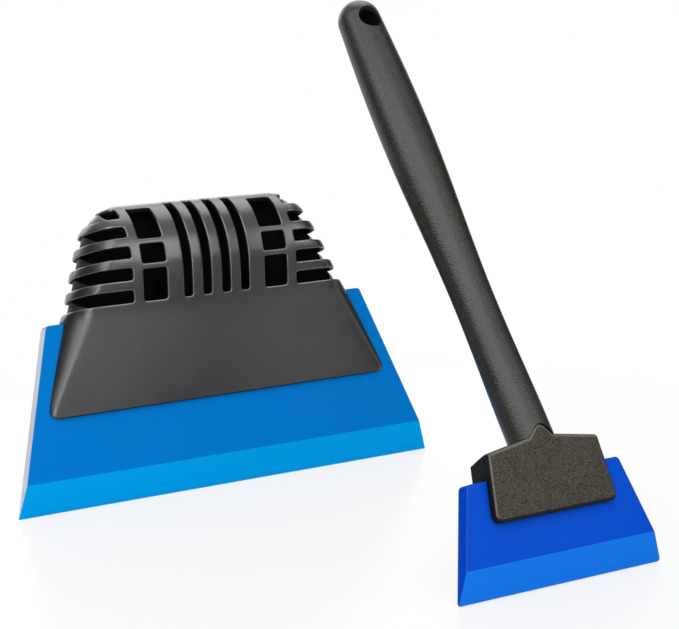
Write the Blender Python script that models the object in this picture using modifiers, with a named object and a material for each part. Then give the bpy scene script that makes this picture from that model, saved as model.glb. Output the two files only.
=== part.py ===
"""Set of two windshield ice scrapers, standing on their blade edges and leaning back.

The palm scraper has a wide blade clamped in a two-shell grip with a slotted cage. The long scraper has
a small blade clamped in a head at the end of a turned handle. Each is modelled upright in its own frame,
with X along the blade edge, Y towards the back and Z up the blade from its edge, and that frame leans
back. The set's origin is the middle of the palm grip, where the hand holds it.
"""

import math

import bmesh
import bpy
from mathutils import Matrix, Vector

# Fits shared by both scrapers
CLEARANCE = 0.0003
BLADE_THICKNESS = 0.0063
BLADE_CORNER_RADIUS = 0.0015
SCREW_DIAMETER = 0.0029
SCREW_HEAD_DIAMETER = 0.0052
SCREW_HEAD_HEIGHT = 0.0020
SCREW_RECESS_WIDTH = 0.0008
SCREW_RECESS_SPAN = 0.0028
SCREW_RECESS_DEPTH = 0.0011
SCREW_END_ROOM = 0.0008
BOSS_WALL = 0.0008

# Palm scraper blade
PALM_LEAN = math.radians(20.5)
PALM_EDGE_WIDTH = 0.202
PALM_BLADE_TOP_WIDTH = 0.155
PALM_BLADE_HEIGHT = 0.0792
PALM_BEVEL_HEIGHT = 0.0133
PALM_EDGE_LAND = 0.0005

# Palm grip outline, with heights given from the top of its blade
SKIRT_COVER = 0.0402
SKIRT_BOTTOM_WIDTH = 0.171
SKIRT_LIP_WALL = 0.0014
SKIRT_CORNER_RADIUS = 0.004
SKIRT_OUTSET = 0.0015
SKIRT_FADE = 0.0065
SKIRT_END_LENGTH = 1.15
GRIP_SIDE_ANGLE = math.radians(20.8)
WAIST_DROP = 0.0012
WAIST_THICKNESS = 0.0248
WAIST_FLARE = 0.22
BULGE_RISE = 0.0248
BULGE_THICKNESS = 0.038
DOME_HEIGHT = 0.0245
CAGE_CORNER_RADIUS = 0.022
GRIP_END_LENGTH = 0.68
SHELL_WALL = 0.0025
CORE_WEB_THICKNESS = 0.0052

# Openings of the cage, with rows counted up from the lowest slot
CAGE_RISE = 0.0044
ROW_COUNT = 5
ROW_PITCH = 0.0093
ROW_SLOT_HEIGHT = 0.0051
ROW_SLOT_RIM = 0.0018
ROW_RIM_RECESS = 0.0012
THIN_SLOT_COUNT = 4
THIN_SLOT_PITCH = 0.0093
THIN_SLOT_WIDTH = 0.0040
THIN_SLOT_CROWN = 0.0053
WINDOW_WIDTH = 0.0112
WINDOW_BAR = 0.0024
WINDOW_CROWN = 0.0090
LOWER_WINDOW_HEIGHT = 0.0134
MIDDLE_WINDOW_HEIGHT = 0.0084
NARROW_BAR = 0.0048
SLOT_CORNER_RADIUS = 0.0010

# Inside the palm grip
CLAMP_RIB_COUNT = 5
CLAMP_RIB_PITCH = 0.026
CLAMP_RIB_THICKNESS = 0.002
CLAMP_RIB_DROP = 0.002
PALM_SCREW_SEAT = 0.009
PALM_SCREW_REACH = 0.009
PALM_SCREW_RISES = (0.0115, 0.0330)

# Long scraper blade
LONG_LEAN = math.radians(25.3)
LONG_SHIFT_X = 0.0534
LONG_SHIFT_Y = -0.1712
LONG_EDGE_WIDTH = 0.095
LONG_BLADE_TOP_WIDTH = 0.071
LONG_BLADE_HEIGHT = 0.0431
LONG_BEVEL_HEIGHT = 0.0118
LONG_EDGE_LAND = 0.0011

# Head of the long scraper, with heights given from the top of its blade
HEAD_COVER = 0.0165
HEAD_BOTTOM_WIDTH = 0.0576
HEAD_TOP_WIDTH = 0.0518
HEAD_SHOULDER_RISE = 0.0098
HEAD_GABLE_RISE = 0.0042
HEAD_LOWER_CORNER_RADIUS = 0.0035
HEAD_UPPER_CORNER_RADIUS = 0.0012
PLATE_THICKNESS = 0.0032
PLATE_EDGE_ROUNDING = 0.0016
JAW_WALL = 0.0042
JAW_EDGE_ROUNDING = 0.0018
TONGUE_WIDTH = 0.0118
TONGUE_RISE = 0.0037
JAW_SCREW_SPREAD = 0.032
JAW_SIDE_SCREW_RISE = 0.0050
JAW_MIDDLE_SCREW_RISE = 0.0075
JAW_SCREW_SEAT = 0.0020
JAW_BOSS_DIAMETER = 0.0054
JAW_BOSS_LENGTH = 0.0046
JAW_SCREW_REACH = 0.0016

# Handle, with lengths measured up its axis from the gable of the head
HANDLE_TILT = math.radians(15.4)
HANDLE_SETBACK = 0.0014
HANDLE_LENGTH = 0.2075
HANDLE_BASE_DIAMETER = 0.0184
HANDLE_WAIST_DIAMETER = 0.0168
HANDLE_WAIST_AT = 0.056
HANDLE_SWELL_DIAMETER = 0.0215
HANDLE_SWELL_AT = 0.144
HANDLE_END_DIAMETER = 0.0184
HANG_HOLE_DIAMETER = 0.0095
HANG_HOLE_INSET = 0.0128
TANG_WIDTH = 0.014
TANG_THICKNESS = 0.0048
TANG_FLOOR = 0.0014
TANG_ROOT = 0.006

# Facets of curved surfaces
QUARTER_STEPS = 6
FLARE_STEPS = 5
DOME_STEPS = 8
CORNER_STEPS = 2
HOLE_SIDES = 16
HANDLE_SIDES = 32
HANDLE_RUN_STEPS = 6
HANDLE_END_STEPS = 6
TONGUE_STEPS = 10
FAR = 0.4

# Values that follow from the sizes above
SLOT_HALF = BLADE_THICKNESS / 2 + CLEARANCE
SKIRT_BOTTOM = PALM_BLADE_HEIGHT - SKIRT_COVER
WAIST_HEIGHT = PALM_BLADE_HEIGHT - WAIST_DROP
BULGE_HEIGHT = PALM_BLADE_HEIGHT + BULGE_RISE
GRIP_TOP = BULGE_HEIGHT + DOME_HEIGHT
CAGE_BOTTOM = PALM_BLADE_HEIGHT + CAGE_RISE
LIP_HALF = SLOT_HALF + SKIRT_LIP_WALL
SCREW_HOLE_DIAMETER = SCREW_DIAMETER + 2 * CLEARANCE
SCREW_HEAD_HOLE_DIAMETER = SCREW_HEAD_DIAMETER + 2 * CLEARANCE
PALM_BOSS_DIAMETER = SCREW_HEAD_HOLE_DIAMETER + 2 * BOSS_WALL
THIN_SLOT_EDGE = ((THIN_SLOT_COUNT - 1) * THIN_SLOT_PITCH + THIN_SLOT_WIDTH) / 2
PALM_SCREW_X = THIN_SLOT_EDGE + CLEARANCE + PALM_BOSS_DIAMETER / 2
WINDOW_INNER = PALM_SCREW_X + PALM_BOSS_DIAMETER / 2 + CLEARANCE
WINDOW_OUTER = WINDOW_INNER + WINDOW_WIDTH
ROW_SLOT_INNER = WINDOW_OUTER + NARROW_BAR
WEB_HALF = CORE_WEB_THICKNESS / 2
HEAD_BOTTOM = LONG_BLADE_HEIGHT - HEAD_COVER
HEAD_SHOULDER = LONG_BLADE_HEIGHT + HEAD_SHOULDER_RISE
HEAD_GABLE = HEAD_SHOULDER + HEAD_GABLE_RISE
GABLE_SLOPE = HEAD_GABLE_RISE / (HEAD_TOP_WIDTH / 2)
PLATE_BACK = -SLOT_HALF
PLATE_FRONT = PLATE_BACK - PLATE_THICKNESS
JAW_FRONT = PLATE_BACK + CLEARANCE
JAW_BACK = SLOT_HALF + JAW_WALL
JAW_SEAT = SLOT_HALF + JAW_SCREW_SEAT
TANG_FRONT = JAW_FRONT
TANG_BACK = TANG_FRONT + TANG_THICKNESS
TANG_BOTTOM = LONG_BLADE_HEIGHT + 2 * CLEARANCE + TANG_FLOOR
BOSS_END = PLATE_BACK + JAW_BOSS_LENGTH
ROOF_DROP = (HANDLE_SETBACK + SLOT_HALF) * math.sin(HANDLE_TILT)
PALM_SCREW_HEIGHTS = [PALM_BLADE_HEIGHT + rise for rise in PALM_SCREW_RISES]
PALM_SCREWS = [(x, z) for z in PALM_SCREW_HEIGHTS for x in (-PALM_SCREW_X, PALM_SCREW_X)]
JAW_SCREWS = [
    (-JAW_SCREW_SPREAD / 2, LONG_BLADE_HEIGHT + JAW_SIDE_SCREW_RISE),
    (0.0, LONG_BLADE_HEIGHT + JAW_MIDDLE_SCREW_RISE),
    (JAW_SCREW_SPREAD / 2, LONG_BLADE_HEIGHT + JAW_SIDE_SCREW_RISE),
]


def make_collection(name):
    collection = bpy.data.collections.new(name)
    bpy.context.scene.collection.children.link(collection)
    return collection


def make_material(name, color, roughness, metallic=0.0):
    material = bpy.data.materials.new(name)
    material.use_nodes = True
    shader = material.node_tree.nodes["Principled BSDF"]
    shader.inputs["Base Color"].default_value = (*color, 1.0)
    shader.inputs["Roughness"].default_value = roughness
    shader.inputs["Metallic"].default_value = metallic
    return material


def make_empty(name, location, lean, parent=None):
    empty = bpy.data.objects.new(name, None)
    empty.location = location
    empty.rotation_euler = (-lean, 0.0, 0.0)
    empty.parent = parent
    parts.objects.link(empty)
    return empty


def mesh_from(name, bm):
    bmesh.ops.recalc_face_normals(bm, faces=bm.faces)
    mesh = bpy.data.meshes.new(name)
    bm.to_mesh(mesh)
    bm.free()
    return mesh


def make_part(name, bm, parent, material):
    part = bpy.data.objects.new(name, mesh_from(name, bm))
    part.parent = parent
    part.data.materials.append(material)
    parts.objects.link(part)
    return part


def make_cutter(name, bm, parent):
    cutter = bpy.data.objects.new(name, mesh_from(name, bm))
    cutter.parent = parent
    cutter.hide_render = True
    cutter.display_type = "WIRE"
    cutters.objects.link(cutter)
    return cutter


def combine(target, tool, operation):
    modifier = target.modifiers.new(tool.name, "BOOLEAN")
    modifier.operation = operation
    modifier.solver = "EXACT"
    modifier.object = tool


def add_box(bm, low, high, rounded_corners=()):
    """Box between two corners. Its edges along Y at the given (x side, z side) corners are rounded."""
    low, high = Vector(low), Vector(high)
    place = Matrix.Translation((low + high) / 2) @ Matrix.Diagonal((*(high - low), 1.0))
    box = bmesh.ops.create_cube(bm, size=1.0, matrix=place)
    middle = (low + high) / 2
    edges = []
    for edge in {e for v in box["verts"] for e in v.link_edges}:
        a, b = (v.co for v in edge.verts)
        corner = (a.x > middle.x, a.z > middle.z)
        if abs(a.y - b.y) > 0.5 * (high.y - low.y) and corner in rounded_corners:
            edges.append(edge)
    if edges:
        round_edges(bm, edges, SLOT_CORNER_RADIUS, CORNER_STEPS)


def add_rod(bm, x, z, y_from, y_to, diameter):
    """Round rod along Y."""
    place = Matrix.Translation((x, (y_from + y_to) / 2, z)) @ Matrix.Rotation(math.pi / 2, 4, "X")
    bmesh.ops.create_cone(
        bm, cap_ends=True, segments=HOLE_SIDES, radius1=diameter / 2, radius2=diameter / 2,
        depth=abs(y_to - y_from), matrix=place,
    )


def round_edges(bm, edges, radius, steps):
    bmesh.ops.bevel(
        bm, geom=edges, offset=radius, offset_type="OFFSET", affect="EDGES",
        segments=steps, profile=0.5, material=-1,
    )


def extrude(bm, face, depth):
    """Grow a face along Y into a closed body."""
    grown = bmesh.ops.extrude_face_region(bm, geom=[face])["geom"]
    verts = [item for item in grown if isinstance(item, bmesh.types.BMVert)]
    bmesh.ops.translate(bm, verts=verts, vec=(0.0, depth, 0.0))


def prism(outline, y_from, y_to):
    """Outline in XZ, extruded along Y."""
    bm = bmesh.new()
    extrude(bm, bm.faces.new([bm.verts.new((x, y_from, z)) for x, z in outline]), y_to - y_from)
    return bm


def edges_along_y(bm, corners):
    """Edges of a prism that stand on the given outline points."""
    found = []
    for edge in bm.edges:
        a, b = (v.co for v in edge.verts)
        if abs(a.x - b.x) + abs(a.z - b.z) < 1e-7:
            if any(abs(a.x - x) + abs(a.z - z) < 1e-6 for x, z in corners):
                found.append(edge)
    return found


def edges_in_plane(bm, y):
    return [e for e in bm.edges if all(abs(v.co.y - y) < 1e-7 for v in e.verts)]


def loft(rings):
    """Closed skin through rings of points, capped at both ends."""
    bm = bmesh.new()
    loops = []
    for ring in rings:
        verts = [bm.verts.new(point) for point in ring]
        loops.append((verts, [bm.edges.new((verts[i - 1], verts[i])) for i in range(len(verts))]))
    for lower, upper in zip(loops, loops[1:]):
        bmesh.ops.bridge_loops(bm, edges=lower[1] + upper[1])
    bm.faces.new(loops[0][0])
    bm.faces.new(loops[-1][0])
    return bm


def blade(edge_width, top_width, height, bevel_height, land):
    """Trapezoid plate with one chisel bevel, from the front down to the rear of the lower edge."""
    half = BLADE_THICKNESS / 2
    top_corners = [(top_width / 2, height), (-top_width / 2, height)]
    bm = prism([(-edge_width / 2, 0.0), (edge_width / 2, 0.0)] + top_corners, -half, half)
    round_edges(bm, edges_along_y(bm, top_corners), BLADE_CORNER_RADIUS, CORNER_STEPS)
    everything = bm.verts[:] + bm.edges[:] + bm.faces[:]
    outward = Vector((0.0, -bevel_height, land - BLADE_THICKNESS)).normalized()
    bmesh.ops.bisect_plane(
        bm, geom=everything, plane_co=(0.0, -half, bevel_height), plane_no=outward, clear_outer=True
    )
    bmesh.ops.edgeloop_fill(bm, edges=[e for e in bm.edges if e.is_boundary])
    return bm


def screw_body(length):
    """Pan-head screw along Y: the head's seat is at the origin and the shank runs to the front."""
    radius, head = SCREW_DIAMETER / 2, SCREW_HEAD_DIAMETER / 2
    chamfer = SCREW_HEAD_HEIGHT / 4
    profile = [
        (0.0, SCREW_HEAD_HEIGHT), (head - chamfer, SCREW_HEAD_HEIGHT), (head, SCREW_HEAD_HEIGHT - chamfer),
        (head, 0.0), (radius, 0.0), (radius, radius - length), (radius / 2, -length), (0.0, -length),
    ]
    bm = bmesh.new()
    verts = [bm.verts.new((r, y, 0.0)) for r, y in profile]
    line = [bm.edges.new(pair) for pair in zip(verts, verts[1:])]
    bmesh.ops.spin(
        bm, geom=verts + line, cent=(0.0, 0.0, 0.0), axis=(0.0, 1.0, 0.0),
        angle=2 * math.pi, steps=HOLE_SIDES, use_merge=True,
    )
    bmesh.ops.remove_doubles(bm, verts=bm.verts, dist=1e-6)
    return bm


def screw_recess():
    """Cross-shaped socket in a screw's head."""
    reach, half = SCREW_RECESS_SPAN / 2, SCREW_RECESS_WIDTH / 2
    outline = []
    for turn in range(4):
        spin = Matrix.Rotation(turn * math.pi / 2, 2)
        outline += [spin @ Vector(point) for point in ((reach, -half), (reach, half), (half, half))]
    return prism(outline, SCREW_HEAD_HEIGHT - SCREW_RECESS_DEPTH, 2 * SCREW_HEAD_HEIGHT)


def place_screws(name, frame, places, seat, end):
    """One screw at each place, seated at one depth and ending at another."""
    first = make_part(name + "_1", screw_body(seat - end), frame, screw_steel)
    recess = make_cutter(name + "_recess", screw_recess(), first)
    for number, (x, z) in enumerate(places, 1):
        screw = first
        if number > 1:
            screw = bpy.data.objects.new(f"{name}_{number}", first.data)
            screw.parent = frame
            parts.objects.link(screw)
            shared = recess
            recess = bpy.data.objects.new(f"{name}_recess_{number}", shared.data)
            recess.parent = screw
            recess.hide_render = True
            recess.display_type = "WIRE"
            cutters.objects.link(recess)
        screw.location = (x, seat, z)
        combine(screw, recess, "DIFFERENCE")


def ease(t):
    return (1 - math.cos(math.pi * t)) / 2


def skirt_share(height):
    """How much of the skirt's wider, rounder ends a section has: all along the blade, and none on the cage."""
    t = min(max((PALM_BLADE_HEIGHT + SKIRT_FADE - height) / SKIRT_FADE, 0.0), 1.0)
    return t * t * (3 - 2 * t)


def grip_half_width(height, inset):
    """Half width of the grip: sides that lean inwards, the skirt's outside the cage's, then a round shoulder."""
    lean = math.tan(GRIP_SIDE_ANGLE)
    cage_side = SKIRT_BOTTOM_WIDTH / 2 - SKIRT_OUTSET
    side = cage_side - (height - SKIRT_BOTTOM) * lean - inset / math.cos(GRIP_SIDE_ANGLE)
    side += SKIRT_OUTSET * skirt_share(height)
    drop = SKIRT_BOTTOM + SKIRT_CORNER_RADIUS - height
    if inset == 0 and drop > 0:
        return side - SKIRT_CORNER_RADIUS + math.sqrt(max(0.0, SKIRT_CORNER_RADIUS**2 - drop**2))
    radius = CAGE_CORNER_RADIUS
    centre_height = GRIP_TOP - radius
    tangent_height = centre_height + radius * math.sin(GRIP_SIDE_ANGLE)
    tangent = cage_side - (tangent_height - SKIRT_BOTTOM) * lean
    centre = tangent - radius * math.cos(GRIP_SIDE_ANGLE)
    if height < centre_height + (radius - inset) * math.sin(GRIP_SIDE_ANGLE):
        return side
    return centre + math.sqrt(max(0.0, (radius - inset) ** 2 - (height - centre_height) ** 2))


def grip_half_thickness(height, inset):
    """Half thickness of the grip: a wedge over the blade that flares into a bulge, under an elliptic dome."""
    waist, bulge = WAIST_THICKNESS / 2, BULGE_THICKNESS / 2
    if height <= WAIST_HEIGHT:
        t = (height - SKIRT_BOTTOM) / (WAIST_HEIGHT - SKIRT_BOTTOM)
        half = LIP_HALF + t * (waist - LIP_HALF) - inset
        return max(half, CLEARANCE)
    if height <= BULGE_HEIGHT:
        span = BULGE_HEIGHT - WAIST_HEIGHT
        t = (height - WAIST_HEIGHT) / span
        flare = span * WAIST_FLARE * t * (1 - t) ** 2
        return waist + (bulge - waist) * t * t * (3 - 2 * t) + flare - inset
    rise = (height - BULGE_HEIGHT) / (DOME_HEIGHT - inset)
    return (bulge - inset) * math.sqrt(max(0.0, 1 - rise * rise))


def grip_ring(height, inset):
    """Section of the grip across its height: flat front and back, half-elliptic ends."""
    half_width = grip_half_width(height, inset)
    half_thickness = grip_half_thickness(height, inset)
    share = skirt_share(height)
    end = (GRIP_END_LENGTH * (1 - share) + SKIRT_END_LENGTH * share) * half_thickness
    ring = []
    for side, start in ((1, -math.pi / 2), (-1, math.pi / 2)):
        for step in range(2 * QUARTER_STEPS + 1):
            angle = start + step / (2 * QUARTER_STEPS) * math.pi
            x = side * (half_width - end) + end * math.cos(angle)
            ring.append((x, half_thickness * math.sin(angle), height))
    return ring


def grip_heights(bottom, inset):
    """Heights of the grip's sections, close together where it is curved."""
    heights = [bottom, SKIRT_BOTTOM + SKIRT_CORNER_RADIUS]
    if inset == 0:
        for step in range(1, QUARTER_STEPS):
            angle = step / QUARTER_STEPS * math.pi / 2
            heights.append(SKIRT_BOTTOM + SKIRT_CORNER_RADIUS * (1 - math.cos(angle)))
    for step in range(FLARE_STEPS + 1):
        heights.append(WAIST_HEIGHT + (BULGE_HEIGHT - WAIST_HEIGHT) * step / FLARE_STEPS)
    for step in range(1, DOME_STEPS):
        heights.append(BULGE_HEIGHT + (DOME_HEIGHT - inset) * math.sin(step / DOME_STEPS * math.pi / 2))
    return sorted(heights)


def grip_body(bottom, inset):
    return loft([grip_ring(height, inset) for height in grip_heights(bottom, inset)])


def cage_slots(side):
    """Openings of one half of the cage: thin slots, columns of windows and rows that wrap round the ends."""
    bm = bmesh.new()
    top = GRIP_TOP + CAGE_RISE
    lower = {(False, False), (True, False)}
    every = lower | {(False, True), (True, True)}

    def opening(x_from, x_to, z_from, z_to, crown, corners):
        y_from, y_to = sorted((side * crown, side * BULGE_THICKNESS))
        add_box(bm, (x_from, y_from, z_from), (x_to, y_to, z_to), corners)

    for index in range(THIN_SLOT_COUNT):
        x = (index - (THIN_SLOT_COUNT - 1) / 2) * THIN_SLOT_PITCH
        opening(x - THIN_SLOT_WIDTH / 2, x + THIN_SLOT_WIDTH / 2, CAGE_BOTTOM, top, THIN_SLOT_CROWN, lower)
    middle = CAGE_BOTTOM + LOWER_WINDOW_HEIGHT + WINDOW_BAR
    upper = middle + MIDDLE_WINDOW_HEIGHT + WINDOW_BAR
    windows = [
        (CAGE_BOTTOM, CAGE_BOTTOM + LOWER_WINDOW_HEIGHT, CLEARANCE, every),
        (middle, middle + MIDDLE_WINDOW_HEIGHT, CLEARANCE, every),
        (upper, top, WINDOW_CROWN, lower),
    ]
    for mirror in (-1, 1):
        for z_from, z_to, crown, corners in windows:
            x_from, x_to = sorted((mirror * WINDOW_INNER, mirror * WINDOW_OUTER))
            opening(x_from, x_to, z_from, z_to, crown, corners)
        inner = {(mirror < 0, False), (mirror < 0, True)}
        for row in range(ROW_COUNT):
            z = CAGE_BOTTOM + row * ROW_PITCH
            x_from, x_to = sorted((mirror * ROW_SLOT_INNER, mirror * SKIRT_BOTTOM_WIDTH / 2))
            opening(x_from, x_to, z, z + ROW_SLOT_HEIGHT, ROW_SLOT_RIM, inner)
    return bm


def rim_grooves():
    """Boxes that carry the row slots round both ends, over the rim that joins the ribs."""
    bm = bmesh.new()
    half = ROW_SLOT_RIM + CLEARANCE
    for mirror in (-1, 1):
        x_from, x_to = sorted((mirror * ROW_SLOT_INNER, mirror * SKIRT_BOTTOM_WIDTH / 2))
        for row in range(ROW_COUNT):
            z = CAGE_BOTTOM + row * ROW_PITCH
            add_box(bm, (x_from, -half, z), (x_to, half, z + ROW_SLOT_HEIGHT))
    return bm


def build_palm_scraper(frame):
    half_gap = CLEARANCE / 2

    cavity = make_cutter("palm_cavity", grip_body(SKIRT_BOTTOM - SHELL_WALL, SHELL_WALL), frame)
    supports = bmesh.new()
    for index in range(CLAMP_RIB_COUNT):
        x = (index - (CLAMP_RIB_COUNT - 1) / 2) * CLAMP_RIB_PITCH
        low = (x - CLAMP_RIB_THICKNESS / 2, -BULGE_THICKNESS, 0.0)
        high = (x + CLAMP_RIB_THICKNESS / 2, BULGE_THICKNESS, PALM_BLADE_HEIGHT - CLAMP_RIB_DROP)
        add_box(supports, low, high)
    for x, z in PALM_SCREWS:
        for side in (-1, 1):
            add_rod(supports, x, z, side * (WEB_HALF + CLEARANCE), side * BULGE_THICKNESS, PALM_BOSS_DIAMETER)
    combine(cavity, make_cutter("palm_ribs_and_bosses", supports, frame), "DIFFERENCE")

    slot = bmesh.new()
    add_box(slot, (-FAR, -SLOT_HALF, -FAR), (FAR, SLOT_HALF, PALM_BLADE_HEIGHT + CLEARANCE))
    blade_slot = make_cutter("palm_blade_slot", slot, frame)
    grooves = make_cutter("palm_rim_grooves", rim_grooves(), frame)
    combine(grooves, make_cutter("palm_rim", grip_body(SKIRT_BOTTOM, ROW_RIM_RECESS), frame), "DIFFERENCE")

    for name, side in (("palm_front_shell", -1), ("palm_rear_shell", 1)):
        shell = make_part(name, grip_body(SKIRT_BOTTOM, 0.0), frame, grip_plastic)
        other_half = bmesh.new()
        y_from, y_to = sorted((side * half_gap, -side * FAR))
        add_box(other_half, (-FAR, y_from, -FAR), (FAR, y_to, FAR))
        holes, head_holes = bmesh.new(), bmesh.new()
        for x, z in PALM_SCREWS:
            if side < 0:
                add_rod(holes, x, z, 0.0, -(PALM_SCREW_REACH + SCREW_END_ROOM), SCREW_HOLE_DIAMETER)
            else:
                add_rod(holes, x, z, 0.0, BULGE_THICKNESS, SCREW_HOLE_DIAMETER)
                add_rod(head_holes, x, z, PALM_SCREW_SEAT, BULGE_THICKNESS, SCREW_HEAD_HOLE_DIAMETER)
        combine(shell, cavity, "DIFFERENCE")
        combine(shell, make_cutter(name + "_other_half", other_half, frame), "DIFFERENCE")
        combine(shell, blade_slot, "DIFFERENCE")
        combine(shell, make_cutter(name + "_slots", cage_slots(side), frame), "DIFFERENCE")
        combine(shell, grooves, "DIFFERENCE")
        combine(shell, make_cutter(name + "_screw_holes", holes, frame), "DIFFERENCE")
        if side > 0:
            combine(shell, make_cutter(name + "_head_holes", head_holes, frame), "DIFFERENCE")

    web_inset = SHELL_WALL + CLEARANCE
    heights = [PALM_BLADE_HEIGHT + 2 * CLEARANCE]
    heights += [h for h in grip_heights(SKIRT_BOTTOM, web_inset) if h > PALM_BLADE_HEIGHT + CAGE_RISE]
    side_line = [(grip_half_width(h, web_inset) - SKIRT_OUTSET * skirt_share(h), h) for h in heights]
    outline = side_line + [(-x, h) for x, h in reversed(side_line)]
    web = make_part("palm_core_web", prism(outline, -WEB_HALF, WEB_HALF), frame, core_plastic)
    web_holes = bmesh.new()
    for x, z in PALM_SCREWS:
        add_rod(web_holes, x, z, -BULGE_THICKNESS, BULGE_THICKNESS, SCREW_HOLE_DIAMETER)
    combine(web, make_cutter("palm_core_web_holes", web_holes, frame), "DIFFERENCE")

    place_screws("palm_shell_screw", frame, PALM_SCREWS, PALM_SCREW_SEAT + CLEARANCE, -PALM_SCREW_REACH)

    shape = blade(PALM_EDGE_WIDTH, PALM_BLADE_TOP_WIDTH, PALM_BLADE_HEIGHT, PALM_BEVEL_HEIGHT, PALM_EDGE_LAND)
    make_part("palm_blade", shape, frame, palm_blade_plastic)


def head_outline():
    half_bottom, half_top = HEAD_BOTTOM_WIDTH / 2, HEAD_TOP_WIDTH / 2
    lower = [(-half_bottom, HEAD_BOTTOM), (half_bottom, HEAD_BOTTOM)]
    upper = [(half_top, HEAD_SHOULDER), (-half_top, HEAD_SHOULDER)]
    return lower, upper


def tongue_arch(margin):
    """Half ellipse of the tongue, from its right foot on the gable over the top to its left foot."""
    half = TONGUE_WIDTH / 2 + margin
    foot = HEAD_GABLE - GABLE_SLOPE * TONGUE_WIDTH / 2
    rise = HEAD_GABLE + TONGUE_RISE + margin - foot
    angles = [step / TONGUE_STEPS * math.pi for step in range(TONGUE_STEPS + 1)]
    return [(half * math.cos(angle), foot + rise * math.sin(angle)) for angle in angles]


def front_plate():
    lower, upper = head_outline()
    bm = prism(lower + upper[:1] + tongue_arch(0.0) + upper[1:], PLATE_BACK, PLATE_FRONT)
    round_edges(bm, edges_along_y(bm, lower), HEAD_LOWER_CORNER_RADIUS, 2 * CORNER_STEPS)
    round_edges(bm, edges_along_y(bm, upper), HEAD_UPPER_CORNER_RADIUS, CORNER_STEPS)
    rounding = min(PLATE_EDGE_ROUNDING, PLATE_THICKNESS - CLEARANCE)
    round_edges(bm, edges_in_plane(bm, PLATE_FRONT), rounding, CORNER_STEPS)
    return bm


def rear_jaw():
    lower, upper = head_outline()
    bm = prism(lower + upper[:1] + [(0.0, HEAD_GABLE)] + upper[1:], JAW_FRONT, JAW_BACK)
    round_edges(bm, edges_along_y(bm, lower), HEAD_LOWER_CORNER_RADIUS, 2 * CORNER_STEPS)
    round_edges(bm, edges_along_y(bm, upper), HEAD_UPPER_CORNER_RADIUS, CORNER_STEPS)
    round_edges(bm, edges_in_plane(bm, JAW_BACK), min(JAW_EDGE_ROUNDING, JAW_WALL - CLEARANCE), CORNER_STEPS)
    return bm


def roof_prism(shift, reach):
    """Space above (positive reach) or below the sloping roof of the head, square to the handle's axis."""
    half = HEAD_BOTTOM_WIDTH
    peak = shift - ROOF_DROP
    eaves = peak - GABLE_SLOPE * half
    return prism([(-half, eaves), (0.0, peak), (half, eaves), (half, reach), (-half, reach)], -FAR, FAR)


def handle_profile():
    """Radius and height of the handle's side, from its round end down to inside the head."""
    base, waist = HANDLE_BASE_DIAMETER / 2, HANDLE_WAIST_DIAMETER / 2
    swell, end = HANDLE_SWELL_DIAMETER / 2, HANDLE_END_DIAMETER / 2
    end_centre = HANDLE_LENGTH - end
    profile = [(0.0, HANDLE_LENGTH)]
    for step in range(1, HANDLE_END_STEPS):
        angle = step / HANDLE_END_STEPS * math.pi / 2
        profile.append((end * math.sin(angle), end_centre + end * math.cos(angle)))
    for step in range(HANDLE_RUN_STEPS):
        t = step / HANDLE_RUN_STEPS
        radius = swell + (end - swell) * (1 - math.cos((1 - t) * math.pi / 2))
        profile.append((radius, end_centre + (HANDLE_SWELL_AT - end_centre) * t))
    for start, stop, from_height, to_height in (
        (swell, waist, HANDLE_SWELL_AT, HANDLE_WAIST_AT),
        (waist, base, HANDLE_WAIST_AT, 0.0),
    ):
        for step in range(HANDLE_RUN_STEPS):
            t = step / HANDLE_RUN_STEPS
            profile.append((start + (stop - start) * ease(t), from_height + (to_height - from_height) * t))
    foot = -(ROOF_DROP + GABLE_SLOPE * base + HANDLE_BASE_DIAMETER)
    return profile + [(base, 0.0), (base, foot), (0.0, foot)]


def build_handle(frame, axis):
    profile = handle_profile()
    mesh = bpy.data.meshes.new("long_handle")
    mesh.from_pydata([(r, 0.0, z) for r, z in profile], [(i, i + 1) for i in range(len(profile) - 1)], [])
    handle = bpy.data.objects.new("long_handle", mesh)
    handle.parent = axis
    parts.objects.link(handle)
    turn = handle.modifiers.new("turn", "SCREW")
    turn.steps = HANDLE_SIDES
    turn.render_steps = HANDLE_SIDES
    turn.use_merge_vertices = True
    turn.merge_threshold = 0.00001
    mesh.materials.append(handle_plastic)

    combine(handle, make_cutter("below_roof", roof_prism(CLEARANCE, -HANDLE_LENGTH), axis), "DIFFERENCE")
    tang = bmesh.new()
    high = (TANG_WIDTH / 2, TANG_BACK, HEAD_GABLE + TANG_ROOT)
    add_box(tang, (-TANG_WIDTH / 2, TANG_FRONT, TANG_BOTTOM), high)
    combine(handle, make_cutter("handle_tang", tang, frame), "UNION")
    arch = tongue_arch(CLEARANCE)
    recess = prism([(arch[-1][0], HEAD_BOTTOM), (arch[0][0], HEAD_BOTTOM)] + arch, TANG_FRONT, -FAR)
    combine(handle, make_cutter("tongue_recess", recess, frame), "DIFFERENCE")
    hole = bmesh.new()
    height = HANDLE_LENGTH - HANG_HOLE_INSET
    add_rod(hole, 0.0, height, -HANDLE_SWELL_DIAMETER, HANDLE_SWELL_DIAMETER, HANG_HOLE_DIAMETER)
    combine(handle, make_cutter("hang_hole", hole, axis), "DIFFERENCE")
    boss_hole = bmesh.new()
    x, z = JAW_SCREWS[1]
    add_rod(boss_hole, x, z, -FAR, FAR, JAW_BOSS_DIAMETER + 2 * CLEARANCE)
    combine(handle, make_cutter("tang_boss_hole", boss_hole, frame), "DIFFERENCE")


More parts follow.
